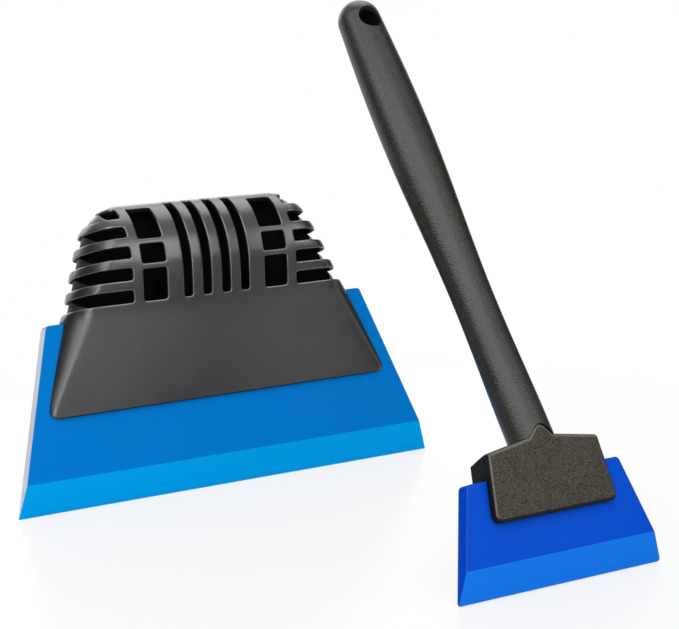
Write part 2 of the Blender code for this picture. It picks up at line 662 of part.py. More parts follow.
def build_long_scraper(frame):
    axis = make_empty("handle_axis", (0.0, HANDLE_SETBACK, HEAD_GABLE), HANDLE_TILT, frame)
    build_handle(frame, axis)

    plate = make_part("long_front_plate", front_plate(), frame, head_plastic)
    bosses, pilots = bmesh.new(), bmesh.new()
    for x, z in JAW_SCREWS:
        add_rod(bosses, x, z, PLATE_BACK - PLATE_THICKNESS / 2, BOSS_END, JAW_BOSS_DIAMETER)
        reach = PLATE_BACK - JAW_SCREW_REACH - CLEARANCE
        add_rod(pilots, x, z, reach, FAR, SCREW_HOLE_DIAMETER)
    combine(plate, make_cutter("plate_bosses", bosses, frame), "UNION")
    combine(plate, make_cutter("plate_pilot_holes", pilots, frame), "DIFFERENCE")

    jaw = make_part("long_rear_jaw", rear_jaw(), frame, head_plastic)
    room = bmesh.new()
    add_box(room, (-FAR, -FAR, -FAR), (FAR, SLOT_HALF, LONG_BLADE_HEIGHT + CLEARANCE))
    pocket = bmesh.new()
    half_pocket = TANG_WIDTH / 2 + CLEARANCE
    add_box(pocket, (-half_pocket, -FAR, TANG_BOTTOM - CLEARANCE), (half_pocket, TANG_BACK + CLEARANCE, FAR))
    holes, wide_holes = bmesh.new(), bmesh.new()
    for x, z in JAW_SCREWS:
        add_rod(holes, x, z, -FAR, FAR, SCREW_HOLE_DIAMETER)
        add_rod(wide_holes, x, z, -FAR, BOSS_END + CLEARANCE, JAW_BOSS_DIAMETER + 2 * CLEARANCE)
        add_rod(wide_holes, x, z, JAW_SEAT, FAR, SCREW_HEAD_HOLE_DIAMETER)
    combine(jaw, make_cutter("jaw_blade_room", room, frame), "DIFFERENCE")
    combine(jaw, make_cutter("above_roof", roof_prism(0.0, HANDLE_LENGTH), axis), "DIFFERENCE")
    combine(jaw, make_cutter("tang_pocket", pocket, frame), "DIFFERENCE")
    combine(jaw, make_cutter("jaw_screw_holes", holes, frame), "DIFFERENCE")
    combine(jaw, make_cutter("jaw_boss_and_head_holes", wide_holes, frame), "DIFFERENCE")

    place_screws("long_jaw_screw", frame, JAW_SCREWS, JAW_SEAT + CLEARANCE, PLATE_BACK - JAW_SCREW_REACH)

    shape = blade(LONG_EDGE_WIDTH, LONG_BLADE_TOP_WIDTH, LONG_BLADE_HEIGHT, LONG_BEVEL_HEIGHT, LONG_EDGE_LAND)
    make_part("long_blade", shape, frame, long_blade_plastic)


for leftover in list(bpy.data.objects):
    bpy.data.objects.remove(leftover, do_unlink=True)

parts = make_collection("ice_scraper_set")
cutters = make_collection("cutters")
grip_plastic = make_material("satin black grip plastic", (0.035, 0.036, 0.040), 0.42)
core_plastic = make_material("black core plastic", (0.010, 0.010, 0.011), 0.6)
handle_plastic = make_material("grained dark grey handle plastic", (0.040, 0.041, 0.044), 0.55)
head_plastic = make_material("grained dark grey head plastic", (0.046, 0.046, 0.044), 0.55)
palm_blade_plastic = make_material("bright blue blade plastic", (0.0, 0.18, 0.58), 0.35)
long_blade_plastic = make_material("deep blue blade plastic", (0.005, 0.08, 0.60), 0.35)
screw_steel = make_material("zinc plated steel", (0.60, 0.61, 0.62), 0.35, 1.0)

half_blade = BLADE_THICKNESS / 2
palm_place = Vector((0.0, -BULGE_HEIGHT * math.sin(PALM_LEAN), -BULGE_HEIGHT * math.cos(PALM_LEAN)))
palm_edge = palm_place + half_blade * Vector((0.0, math.cos(PALM_LEAN), -math.sin(PALM_LEAN)))
long_edge = palm_edge + Vector((LONG_SHIFT_X, LONG_SHIFT_Y, 0.0))
long_place = long_edge - half_blade * Vector((0.0, math.cos(LONG_LEAN), -math.sin(LONG_LEAN)))
build_palm_scraper(make_empty("palm_frame", palm_place, PALM_LEAN))
build_long_scraper(make_empty("long_frame", long_place, LONG_LEAN))
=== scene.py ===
import bisect
import math

import bmesh
import bpy
from mathutils import Matrix, Vector


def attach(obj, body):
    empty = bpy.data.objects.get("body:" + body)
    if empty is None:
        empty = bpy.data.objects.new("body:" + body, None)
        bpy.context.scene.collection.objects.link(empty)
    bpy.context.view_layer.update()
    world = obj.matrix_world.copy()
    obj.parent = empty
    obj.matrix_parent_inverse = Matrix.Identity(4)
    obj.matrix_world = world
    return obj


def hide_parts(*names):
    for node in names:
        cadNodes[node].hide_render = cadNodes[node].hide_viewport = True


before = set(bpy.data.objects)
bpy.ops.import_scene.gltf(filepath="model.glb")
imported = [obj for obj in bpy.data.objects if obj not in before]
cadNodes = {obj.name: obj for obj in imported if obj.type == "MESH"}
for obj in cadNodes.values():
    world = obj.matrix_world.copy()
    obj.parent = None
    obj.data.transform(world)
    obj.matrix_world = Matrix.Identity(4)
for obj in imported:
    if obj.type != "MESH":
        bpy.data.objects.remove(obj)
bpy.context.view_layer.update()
scene = bpy.context.scene
print("frame loaded:", len(cadNodes), "nodes")

# where each scraper stands: millimetres along its own blade, up its own lean
standing = {
    "palmLean": 20.5, "palmAt": (0.0, -0.0364216, -0.0974139),
    "longLean": 25.3, "longAt": (0.0534, -0.2075189, -0.0971709),
    "handleTilt": 15.4, "handleAt": (0.0, 1.4, 57.1),
    "floor": -0.0985171,
}


def leaning(at, lean):
    return Matrix.Translation(at) @ Matrix.Rotation(math.radians(-lean), 4, "X")


millimetres = Matrix.Scale(0.001, 4)
palmPlace = leaning(standing["palmAt"], standing["palmLean"]) @ millimetres
longPlace = leaning(standing["longAt"], standing["longLean"]) @ millimetres
handleTurn = leaning(standing["handleAt"], standing["handleTilt"])


# stands where the photograph was taken from
cameraSet = {"at": (-0.3418, -0.720971, 0.156983), "pitch": 90 - 13.12, "turn": -29.96, "lens": 95.434,
             "sensor": 36.0, "clip": (0.01, 100.0)}

cameraData = bpy.data.cameras.new("photoCamera")
cameraData.sensor_width = cameraSet["sensor"]
cameraData.lens = cameraSet["lens"]
cameraData.clip_start, cameraData.clip_end = cameraSet["clip"]
camera = bpy.data.objects.new("photoCamera", cameraData)
camera.location = cameraSet["at"]
camera.rotation_euler = (math.radians(cameraSet["pitch"]), 0.0, math.radians(cameraSet["turn"]))
scene.collection.objects.link(camera)
scene.camera = camera
print("camera set")


def setInputs(node, values):
    for name, value in values.items():
        node.inputs[name].default_value = value


def spanned(nodes, fromSpan, toSpan):
    node = nodes.new("ShaderNodeMapRange")
    setInputs(node, {"From Min": fromSpan[0], "From Max": fromSpan[1]})
    setInputs(node, {"To Min": toSpan[0], "To Max": toSpan[1]})
    return node


# grain and broad tone shared by every finish
grainSet = {"fine": {"Detail": 2.0, "Roughness": 0.6}, "broad": {"Detail": 4.0}, "glossShare": 0.5,
            "heightShare": 0.4, "speckle": 0.45, "toneSpan": (0.36, 0.64), "glossSpan": (0.3, 0.7)}


def makeMouldedGrain():
    group = bpy.data.node_groups.new("mouldedGrain", "ShaderNodeTree")
    for name in ("Grain", "Cloud", "Speckle"):
        group.interface.new_socket(name=name, in_out="INPUT", socket_type="NodeSocketFloat")
    for name in ("Tone", "Gloss", "Height"):
        group.interface.new_socket(name=name, in_out="OUTPUT", socket_type="NodeSocketFloat")
    nodes, links = group.nodes, group.links
    into, out = nodes.new("NodeGroupInput"), nodes.new("NodeGroupOutput")
    coords = nodes.new("ShaderNodeTexCoord")

    def textured(kind, scale):
        node = nodes.new(kind)
        links.new(coords.outputs["Object"], node.inputs["Vector"])
        links.new(into.outputs[scale], node.inputs["Scale"])
        return node

    def mixed(first, second, output):            # gives the socket that shares them out
        node = nodes.new("ShaderNodeMix")
        links.new(first, node.inputs["A"])
        links.new(second, node.inputs["B"])
        links.new(node.outputs["Result"], out.inputs[output])
        return node.inputs["Factor"]

    fine = textured("ShaderNodeTexNoise", "Grain")
    setInputs(fine, grainSet["fine"])
    pits = textured("ShaderNodeTexVoronoi", "Grain")
    pits.feature = "SMOOTH_F1"
    broad = textured("ShaderNodeTexNoise", "Cloud")
    setInputs(broad, grainSet["broad"])
    links.new(into.outputs["Speckle"], mixed(broad.outputs["Fac"], fine.outputs["Fac"], "Tone"))
    mixed(fine.outputs["Fac"], broad.outputs["Fac"], "Gloss").default_value = grainSet["glossShare"]
    mixed(fine.outputs["Fac"], pits.outputs["Distance"], "Height").default_value = grainSet["heightShare"]
    return group


mouldedGrain = makeMouldedGrain()


def makePlastic(name, look):
    material = bpy.data.materials.new(name)
    material.use_nodes = True
    nodes, links = material.node_tree.nodes, material.node_tree.links
    shader = nodes["Principled BSDF"]
    setInputs(shader, {"Specular IOR Level": look["specular"], "Metallic": look.get("metallic", 0.0)})
    grain = nodes.new("ShaderNodeGroup")
    grain.node_tree = mouldedGrain
    setInputs(grain, {"Grain": look["grain"], "Cloud": look["cloud"],
                      "Speckle": look.get("speckle", grainSet["speckle"])})

    tone = spanned(nodes, grainSet["toneSpan"], (0.0, 1.0))     # pull the noise apart before it tints
    links.new(grain.outputs["Tone"], tone.inputs["Value"])
    colour = nodes.new("ShaderNodeMix")
    colour.data_type = "RGBA"
    links.new(tone.outputs["Result"], colour.inputs["Factor"])
    colour.inputs[6].default_value = (*look["dark"], 1.0)       # the two sockets that take a colour
    colour.inputs[7].default_value = (*look["light"], 1.0)
    links.new(colour.outputs[2], shader.inputs["Base Color"])

    gloss = spanned(nodes, grainSet["glossSpan"], look["rough"])
    links.new(grain.outputs["Gloss"], gloss.inputs["Value"])
    links.new(gloss.outputs["Result"], shader.inputs["Roughness"])

    bump = nodes.new("ShaderNodeBump")
    setInputs(bump, {"Strength": look["bump"], "Distance": look["deep"]})
    links.new(grain.outputs["Height"], bump.inputs["Height"])
    links.new(bump.outputs["Normal"], shader.inputs["Normal"])
    return material


# dark and light are the ends of a finish's tone, deep is how far its grain stands out, in metres
finishes = {
    "gripSatin": {"dark": (0.0152, 0.0153, 0.0156), "light": (0.0222, 0.0224, 0.0227),
                  "rough": (0.27, 0.37), "specular": 0.62, "grain": 1250.0, "cloud": 45.0,
                  "speckle": 0.6, "bump": 0.22, "deep": 0.0003},
    # painted highlight: a lighter copy of the grip plastic for the slots' edges
    "gripEdgeHighlight": {"dark": (0.030, 0.030, 0.031), "light": (0.046, 0.046, 0.047), "rough": (0.20, 0.30),
                 "specular": 1.0, "grain": 1250.0, "cloud": 45.0, "bump": 0.15, "deep": 0.0002},
    # the rear shell's copy of the grip plastic, a little lighter as painted light on the rear ribs
    "gripRearLighter": {"dark": (0.0160, 0.0162, 0.0168), "light": (0.0230, 0.0233, 0.0240),
                 "rough": (0.22, 0.31), "specular": 0.75, "grain": 1250.0, "cloud": 45.0,
                 "speckle": 0.6, "bump": 0.18, "deep": 0.0003},
    # painted shade: near-black for the slot walls, the inside, posts, ribs, screw holes and the skirt's
    # lower rim
    "gripShadeInside": {"dark": (0.0012, 0.0012, 0.0013), "light": (0.0026, 0.0026, 0.0028),
                   "rough": (0.55, 0.70), "specular": 0.10, "grain": 1200.0, "cloud": 60.0,
                   "bump": 0.1, "deep": 0.0002},
    # painted shade: near-black for the web seen through the slots
    "coreShadeBlack": {"dark": (0.0008, 0.0008, 0.0009), "light": (0.0018, 0.0018, 0.0020),
                  "rough": (0.7, 0.85), "specular": 0.04, "grain": 1100.0, "cloud": 60.0,
                  "bump": 0.1, "deep": 0.0002},
    "handleGrain": {"dark": (0.0086, 0.0081, 0.0064), "light": (0.0255, 0.0240, 0.0190),
                    "rough": (0.30, 0.41), "specular": 0.30, "grain": 1550.0, "cloud": 70.0,
                    "speckle": 0.85, "bump": 0.65, "deep": 0.0003},
    # painted shade: near-black for the wall of the hang hole
    "handleHoleShade": {"dark": (0.0012, 0.0012, 0.0012), "light": (0.0024, 0.0024, 0.0024),
                     "rough": (0.6, 0.7), "specular": 0.08, "grain": 1500.0, "cloud": 70.0,
                     "bump": 0.3, "deep": 0.0003},
    "headGrain": {"dark": (0.0030, 0.0026, 0.0018), "light": (0.1040, 0.0930, 0.0705),
                  "rough": (0.36, 0.52), "specular": 0.10, "grain": 2500.0, "cloud": 90.0,
                  "speckle": 0.95, "bump": 0.9, "deep": 0.0005},
    # painted highlight: the lighter band where the plate's face turns over
    "headEdgeHighlight": {"dark": (0.0700, 0.0650, 0.0540), "light": (0.1500, 0.1400, 0.1160),
                 "rough": (0.36, 0.52), "specular": 0.20, "grain": 2500.0, "cloud": 90.0,
                 "speckle": 0.9, "bump": 0.5, "deep": 0.0004},
    # the rear jaw's own dark plastic, also used on the plate's sides, top and underside as painted shade
    "jawGrainAndPlateShade": {"dark": (0.0040, 0.0050, 0.0051), "light": (0.0098, 0.0112, 0.0115),
                 "rough": (0.50, 0.65), "specular": 0.10, "grain": 1050.0, "cloud": 90.0,
                 "speckle": 0.7, "bump": 0.6, "deep": 0.0004},
    "palmBlue": {"dark": (0.0, 0.183, 0.586), "light": (0.0, 0.197, 0.620), "rough": (0.40, 0.50),
                 "specular": 0.01, "grain": 700.0, "cloud": 14.0, "bump": 0.04, "deep": 0.0002},
    # painted light: a lighter copy of the palm blue for the bevel
    "palmBevelLitBlue": {"dark": (0.0, 0.339, 0.775), "light": (0.0, 0.362, 0.812), "rough": (0.34, 0.42),
                      "specular": 0.01, "grain": 700.0, "cloud": 14.0, "bump": 0.03, "deep": 0.0002},
    # painted reflection: pale ends of the palm blade
    "palmEndReflectionPale": {"dark": (0.50, 0.52, 0.60), "light": (0.60, 0.62, 0.70), "rough": (0.42, 0.55),
                    "specular": 0.3, "grain": 800.0, "cloud": 60.0, "bump": 0.08, "deep": 0.0002},
    "longBlue": {"dark": (0.0, 0.071, 0.572), "light": (0.001, 0.080, 0.618), "rough": (0.38, 0.48),
                 "specular": 0.02, "grain": 700.0, "cloud": 18.0, "bump": 0.04, "deep": 0.0002},
    # painted light: a lighter copy of the long blue for the bevel
    "longBevelLitBlue": {"dark": (0.006, 0.175, 0.735), "light": (0.010, 0.193, 0.785), "rough": (0.34, 0.42),
                      "specular": 0.02, "grain": 700.0, "cloud": 18.0, "bump": 0.03, "deep": 0.0002},
    # painted shade: a darker copy of the long blue for the ends
    "longEndShadeBlue": {"dark": (0.0, 0.052, 0.470), "light": (0.0, 0.060, 0.520), "rough": (0.38, 0.48),
                    "specular": 0.02, "grain": 700.0, "cloud": 30.0, "bump": 0.04, "deep": 0.0002},
    # painted highlight: lighter front edges of the long blade
    "longEdgeHighlightBlue": {"dark": (0.018, 0.150, 0.680), "light": (0.028, 0.175, 0.730), "rough": (0.25, 0.35),
                     "specular": 0.2, "grain": 700.0, "cloud": 30.0, "bump": 0.03, "deep": 0.0002},
    # painted highlight: lighter front edges of the palm blade
    "palmEdgeHighlightPale": {"dark": (0.30, 0.46, 0.66), "light": (0.38, 0.54, 0.74), "rough": (0.30, 0.40),
                     "specular": 0.3, "grain": 700.0, "cloud": 30.0, "bump": 0.03, "deep": 0.0002},
    "screwZinc": {"dark": (0.46, 0.47, 0.48), "light": (0.66, 0.67, 0.68), "rough": (0.24, 0.42),
                  "specular": 0.5, "metallic": 1.0, "grain": 2600.0, "cloud": 500.0, "bump": 0.15,
                  "deep": 0.0001},
}
plastics = {name: makePlastic(name, look) for name, look in finishes.items()}
print("finishes made:", len(plastics))


# edges that turn further than this stay sharp, in degrees
sharpAngles = {"palm": 38.0, "blade": 38.0, "head": 30.0, "handle": 40.0, "screw": 30.0}
touching = 1e-4          # points closer than this count as one


# helpers that make, cut and hand over a piece
def newPiece(name, bm, place, looks):
    bm.transform(place)
    mesh = bpy.data.meshes.new(name)
    bm.to_mesh(mesh)
    bm.free()
    mesh.shade_smooth()
    for look in looks:
        mesh.materials.append(plastics[look])
    piece = bpy.data.objects.new(name, mesh)
    scene.collection.objects.link(piece)
    return piece


def closeUp(bm):
    bmesh.ops.remove_doubles(bm, verts=bm.verts, dist=touching)
    bmesh.ops.recalc_face_normals(bm, faces=bm.faces)


def settle(piece, sharpAngle):
    bpy.context.view_layer.update()
    shaped = piece.evaluated_get(bpy.context.evaluated_depsgraph_get())
    mesh = bpy.data.meshes.new_from_object(shaped)
    old = piece.data
    piece.modifiers.clear()
    piece.data = mesh
    bpy.data.meshes.remove(old)
    mesh.name = piece.name
    mesh.shade_smooth()
    mesh.set_sharp_from_angle(angle=math.radians(sharpAngle))


def cutOut(piece, tools, sharpAngle):
    for tool in tools:
        cut = piece.modifiers.new(tool.name, "BOOLEAN")
        cut.operation = "DIFFERENCE"
        cut.solver = "EXACT"
        cut.object = tool
        if tool.data.materials:
            cut.material_mode = "TRANSFER"
    settle(piece, sharpAngle)
    for tool in tools:
        mesh = tool.data
        bpy.data.objects.remove(tool)
        bpy.data.meshes.remove(mesh)


def handOver(piece, body, node):
    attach(piece, body)
    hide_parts(node)


def roundOff(bm, edges, width, steps, clamp=True):
    return bmesh.ops.bevel(bm, geom=list(edges), offset=width, offset_type="OFFSET", affect="EDGES",
                           segments=steps, profile=0.5, material=-1, clamp_overlap=clamp)["faces"]


def vertsOf(geom):
    return [v for v in geom if isinstance(v, bmesh.types.BMVert)]


def extruded(outline, yFrom, yTo):
    bm = bmesh.new()
    face = bm.faces.new([bm.verts.new((x, yFrom, z)) for x, z in outline])
    grown = bmesh.ops.extrude_face_region(bm, geom=[face])["geom"]
    bmesh.ops.translate(bm, verts=vertsOf(grown), vec=(0.0, yTo - yFrom, 0.0))
    bmesh.ops.recalc_face_normals(bm, faces=bm.faces)
    return bm


def uprightEdges(bm, corners):
    found = []
    for edge in bm.edges:
        a, b = edge.verts[0].co, edge.verts[1].co
        if abs(a.x - b.x) + abs(a.z - b.z) < touching:
            if any(abs(a.x - x) + abs(a.z - z) < 10 * touching for x, z in corners):
                found.append(edge)
    return found


def flatEdges(bm, y):
    return [e for e in bm.edges if all(abs(v.co.y - y) < touching for v in e.verts)]


def turned(profile, steps, place):
    bm = bmesh.new()
    verts = [bm.verts.new((r, 0.0, h)) for r, h in profile]
    line = [bm.edges.new(pair) for pair in zip(verts, verts[1:])]
    bmesh.ops.spin(bm, geom=verts + line, cent=(0, 0, 0), axis=(0, 0, 1), angle=2 * math.pi,
                   steps=steps, use_merge=True)
    closeUp(bm)
    bm.transform(place)
    return bm


def along(x, z):          # a turned shape's axis laid along Y, at a place on the front
    return Matrix.Translation((x, 0.0, z)) @ Matrix.Rotation(math.radians(-90), 4, "X")


# palm grip: two slotted shells
palmGrip = {
    "bottom": 39.0, "bottomHalf": 84.0, "lipHalf": 4.85, "cornerRadius": 4.0, "sideAngle": 20.8,
    "waist": 78.0, "waistHalf": 12.4, "flare": 0.22, "bulge": 104.0, "bulgeHalf": 19.0,
    "dome": 24.5, "shoulder": 22.0, "endShare": 0.68, "wall": 2.5, "sunkInWall": 0.6, "tiltOver": 16.0,
    # the skirt's ends are rounder and wider than the cage's
    "skirtEnd": 1.15, "skirtOut": 1.5, "skirtFade": (79.2, 85.7),
    "slotTop": 79.5, "slotHalf": 3.45, "slotHair": 0.05, "gap": 0.15, "slotRim": 1.8,
    "rimRecess": 1.2, "rimSink": 2.2, "rimReach": 11.0, "rimThick": 1.1, "rimOver": 0.4, "rimTip": 0.08,
    "rimTaper": 1.3, "rimGrid": (12, 4), "edge": 0.45, "smooth": 2,
    # lines across the front, the slots' edges among them
    "columns": (0.0, 1.3, 2.65, 3.9, 5.4, 6.65, 8.2, 10.4, 11.95, 13.2, 14.7, 15.95, 17.6, 19.95, 22.3,
                23.95, 25.7, 29.55, 33.4, 35.15, 36.6, 38.5, 39.95, 41.6),
    "endColumns": 9, "flatStep": 6.0, "roundStep": 2.2,
    "thinSlots": ((2.65, 6.65), (11.95, 15.95)), "windows": (23.95, 35.15), "windowPost": 36.6,
    "rowsFrom": 39.95,
    # heights of the lines: over the windows, and over the rows that wrap round the ends
    "heights": ((39.0, 39.0), (39.5, 39.5), (40.6, 40.6), (43.0, 43.0), (48.0, 48.0), (55.0, 55.0),
                (63.0, 63.0), (70.0, 70.0), (76.0, 76.0), (79.5, 79.5), (81.7, 81.7), (83.6, 83.6),
                (86.1, 86.1), (88.7, 88.7), (90.8, 90.8), (92.9, 92.9), (95.2, 95.4), (97.0, 98.0),
                (98.2, 100.1), (99.4, 102.2), (101.2, 104.0), (106.0, 105.7), (107.8, 107.3),
                (109.0, 109.4), (110.2, 111.5), (112.2, 114.0), (116.6, 116.6), (118.7, 118.7),
                (120.8, 120.8), (123.6, 123.4), (125.6, 125.9), (126.6, 126.6), (127.5, 127.5),
                (128.05, 128.05), (128.36, 128.36), (128.4992, 128.4992)),
    "slotTopRow": 9, "cageRow": 11, "thinEndRow": 32, "fitRow": 31,
    "windowRows": ((11, 17), (19, 22), (24, 30)),
    "wrapRows": ((11, 13), (15, 17), (19, 22), (24, 26), (28, 30)),
}
screwsPalm = {"places": ((-19.95, 90.7), (19.95, 90.7), (-19.95, 112.2), (19.95, 112.2)), "boss": 3.7,
              "headHole": 2.9, "shankHole": 1.75, "seat": 9.0, "webSide": 2.9, "blind": 9.8, "postTop": 30.0,
              "postTurns": 32, "drillFrom": 6.0, "drillTo": 40.0, "drillTurns": 40, "headAt": 9.3,
              "tipAt": -9.0}
clampRibs = {"at": (-52.0, -26.0, 0.0, 26.0, 52.0), "thick": 2.0, "low": 44.0, "top": 77.2}


def skirtShare(z):        # 1 on the skirt, 0 on the cage
    low, high = palmGrip["skirtFade"]
    t = min(max((high - z) / (high - low), 0.0), 1.0)
    return t * t * (3 - 2 * t)


def gripHalfWidth(z):
    g = palmGrip
    lean = math.radians(g["sideAngle"])
    side = g["bottomHalf"] - (z - g["bottom"]) * math.tan(lean) + g["skirtOut"] * skirtShare(z)
    drop = g["bottom"] + g["cornerRadius"] - z
    if drop > 0:
        return side - g["cornerRadius"] + math.sqrt(max(0.0, g["cornerRadius"] ** 2 - drop ** 2))
    middle = g["bulge"] + g["dome"] - g["shoulder"]
    touch = middle + g["shoulder"] * math.sin(lean)
    if z < touch:
        return side
    centre = g["bottomHalf"] - (touch - g["bottom"]) * math.tan(lean) - g["shoulder"] * math.cos(lean)
    return centre + math.sqrt(max(0.0, g["shoulder"] ** 2 - (z - middle) ** 2))


def gripHalfThickness(z):
    g = palmGrip
    if z <= g["waist"]:
        t = (z - g["bottom"]) / (g["waist"] - g["bottom"])
        return g["lipHalf"] + t * (g["waistHalf"] - g["lipHalf"])
    if z <= g["bulge"]:
        span = g["bulge"] - g["waist"]
        t = (z - g["waist"]) / span
        swell = (g["bulgeHalf"] - g["waistHalf"]) * t * t * (3 - 2 * t)
        return g["waistHalf"] + swell + span * g["flare"] * t * (1 - t) ** 2
    return g["bulgeHalf"] * math.sqrt(max(0.0, 1 - ((z - g["bulge"]) / g["dome"]) ** 2))


def sectionPath(z, inset=0.0, steps=200):       # front of one section, from its middle round its end
    width, thick = gripHalfWidth(z) - inset, gripHalfThickness(z) - inset
    share = skirtShare(z)
    end = (palmGrip["endShare"] * (1 - share) + palmGrip["skirtEnd"] * share) * thick
    path = [(0.0, 0.0, -thick)]
    for step in range(steps + 1):
        angle = step / steps * math.pi / 2
        point = (width - end + end * math.sin(angle), -thick * math.cos(angle))
        length = path[-1][0] + math.hypot(point[0] - path[-1][1], point[1] - path[-1][2])
        path.append((length, *point))
    return path


def atLength(path, length):
    spot = min(max(bisect.bisect_left(path, (length,)), 1), len(path) - 1)
    a, b = path[spot - 1], path[spot]
    share = 0.0 if b[0] == a[0] else min(max((length - a[0]) / (b[0] - a[0]), 0.0), 1.0)
    return a[1] + share * (b[1] - a[1]), a[2] + share * (b[2] - a[2])


def lengthWhere(path, axis, value):
    for a, b in zip(path, path[1:]):
        if b[axis] >= value - 1e-9:
            share = 0.0 if b[axis] == a[axis] else (value - a[axis]) / (b[axis] - a[axis])
            return a[0] + min(max(share, 0.0), 1.0) * (b[0] - a[0])
    return path[-1][0]


def columnLengths(z):     # how far round the section each column of the shell lies
    g = palmGrip
    path = sectionPath(z)
    fixed = [lengthWhere(path, 1, x) for x in g["columns"]]
    start, stop = fixed[-1], lengthWhere(path, 2, -g["slotHalf"] - g["slotHair"])
    bend = max(path[1][0], start)            # the round end gets closer columns than the flat
    flatShare, roundShare = (bend - start) / g["flatStep"], (stop - bend) / g["roundStep"]
    total = flatShare + roundShare
    ends = []
    for step in range(1, g["endColumns"] + 1):
        reach = total * step / g["endColumns"]
        if reach <= flatShare:
            ends.append(start + reach * g["flatStep"])
        else:
            ends.append(bend + (reach - flatShare) * g["roundStep"])
    rims = [lengthWhere(path, 2, -g["slotRim"]), lengthWhere(path, 2, -g["gap"])]
    return fixed + ends + rims


def shellPoints():
    g = palmGrip
    anchor = g["columns"].index(g["thinSlots"][-1][1]) + 1
    known = {}
    fitZ = g["heights"][g["fitRow"]][0]
    fitLengths = columnLengths(fitZ)

    def spot(column, z):
        if z not in known:
            path = sectionPath(z)
            if z <= fitZ:
                lengths = columnLengths(z)
            else:             # over the crown the outer columns close up together
                last, first = lengthWhere(path, 2, -g["gap"]), fitLengths[anchor]
                squeeze = (last - first) / (fitLengths[-1] - first)
                lengths = [l if l <= first else first + (l - first) * squeeze for l in fitLengths]
            known[z] = [atLength(path, l) for l in lengths]
        return known[z][column]

    return spot, len(g["columns"]) + g["endColumns"] + 2


def makeShell(side):
    g = palmGrip
    spot, perSide = shellPoints()
    rowCount, last = len(g["heights"]), perSide - 1
    bm = bmesh.new()
    bmesh.ops.create_grid(bm, x_segments=2 * last, y_segments=rowCount - 1, size=1.0)
    column = bm.verts.layers.int.new("column")
    row = bm.verts.layers.int.new("row")
    for vert in bm.verts:
        vert[column] = round((vert.co.x + 1) * last) - last
        vert[row] = round((vert.co.y + 1) / 2 * (rowCount - 1))

    first = {x: g["columns"].index(x) for x in g["columns"]}
    slotEnd = last - 2
    holes = []                # column from, column to, row from, row to
    for low, high in g["thinSlots"]:
        holes.append((first[low], first[high], g["cageRow"], g["thinEndRow"]))
    for low, high in g["windowRows"]:
        holes.append((first[g["windows"][0]], first[g["windows"][1]], low, high))
    for low, high in g["wrapRows"]:
        holes.append((first[g["rowsFrom"]], last, low, high))
    holes.append((slotEnd, last, 0, g["slotTopRow"]))      # the blade runs out at both ends
    opened = []
    for face in bm.faces:
        middle = sum(v[column] for v in face.verts) / 4
        level = sum(v[row] for v in face.verts) / 4
        if any(a < abs(middle) < b and c < level < d for a, b, c, d in holes):
            opened.append(face)
    bmesh.ops.delete(bm, geom=opened, context="FACES")

    bend = first[g["windowPost"]]
    for vert in bm.verts:
        over, wrap = g["heights"][vert[row]]
        z = over if abs(vert[column]) <= bend else wrap
        x, y = spot(abs(vert[column]), z)
        vert.co = (math.copysign(x, vert[column]) if vert[column] else 0.0, y, z)
    bmesh.ops.recalc_face_normals(bm, faces=bm.faces)
    if sum(f.normal.y * f.calc_area() for f in bm.faces) > 0:
        bmesh.ops.reverse_faces(bm, faces=bm.faces)
    bm.normal_update()

    inner = {}                # where the wall's inside lies
    for vert in bm.verts:
        tilt = min(max((vert.co.z - g["bulge"]) / g["tiltOver"], 0.0), 1.0)
        inward = Vector((vert.normal.x, vert.normal.y, vert.normal.z * tilt)).normalized()
        point = vert.co - inward * g["wall"]
        if vert.co.z < g["slotTop"] + touching:
            point.y = min(point.y, -g["slotHalf"])
        if vert[row] == 0 or vert[row] == g["slotTopRow"] and abs(vert[column]) >= slotEnd:
            point.z = vert.co.z
        if vert[row] == rowCount - 1 or abs(vert[column]) == last:
            point.y = -g["gap"]
        point.y = min(point.y, -g["gap"])
        inner[(vert[column], vert[row])] = point

    grown = bmesh.ops.extrude_face_region(bm, geom=bm.faces[:], use_keep_orig=True)["geom"]
    insideVerts = set(vertsOf(grown))
    for vert in insideVerts:
        vert.co = inner[(vert[column], vert[row])]
    bmesh.ops.recalc_face_normals(bm, faces=bm.faces)

    for face in bm.faces:     # walls of the slots and the inside are painted near-black as shade
        face.material_index = int(any(v in insideVerts for v in face.verts))

    crease = bm.edges.layers.float.new("crease_edge")
    rims = []
    for edge in bm.edges:
        kinds = [sum(v in insideVerts for v in face.verts) for face in edge.link_faces]
        if sum(0 < k < 4 for k in kinds) != 1:
            continue
        a, b = edge.verts
        parting = (a[row] == b[row] == rowCount - 1) or (abs(a[column]) == abs(b[column]) == last)
        if parting:
            edge[crease] = 1.0
        else:
            rims.append(edge)
    outerRims = [e for e in rims if not any(v in insideVerts for v in e.verts)]
    innerRims = [e for e in rims if any(v in insideVerts for v in e.verts)]
    roundOff(bm, innerRims, g["edge"], 1)
    for face in roundOff(bm, outerRims, g["edge"], 1):      # the slots' outer edges: lighter over the slot tops as a painted highlight, near-black below as painted shade
        face.material_index = 2 if face.calc_center_median().z > g["slotTop"] else 1
    if side > 0:
        bmesh.ops.scale(bm, vec=(1.0, -1.0, 1.0), verts=bm.verts)
        bmesh.ops.reverse_faces(bm, faces=bm.faces)
    return bm


def insideWall(z):        # a little way into the wall, where posts and ribs join it
    return gripHalfThickness(z) - palmGrip["wall"] * palmGrip["sunkInWall"]


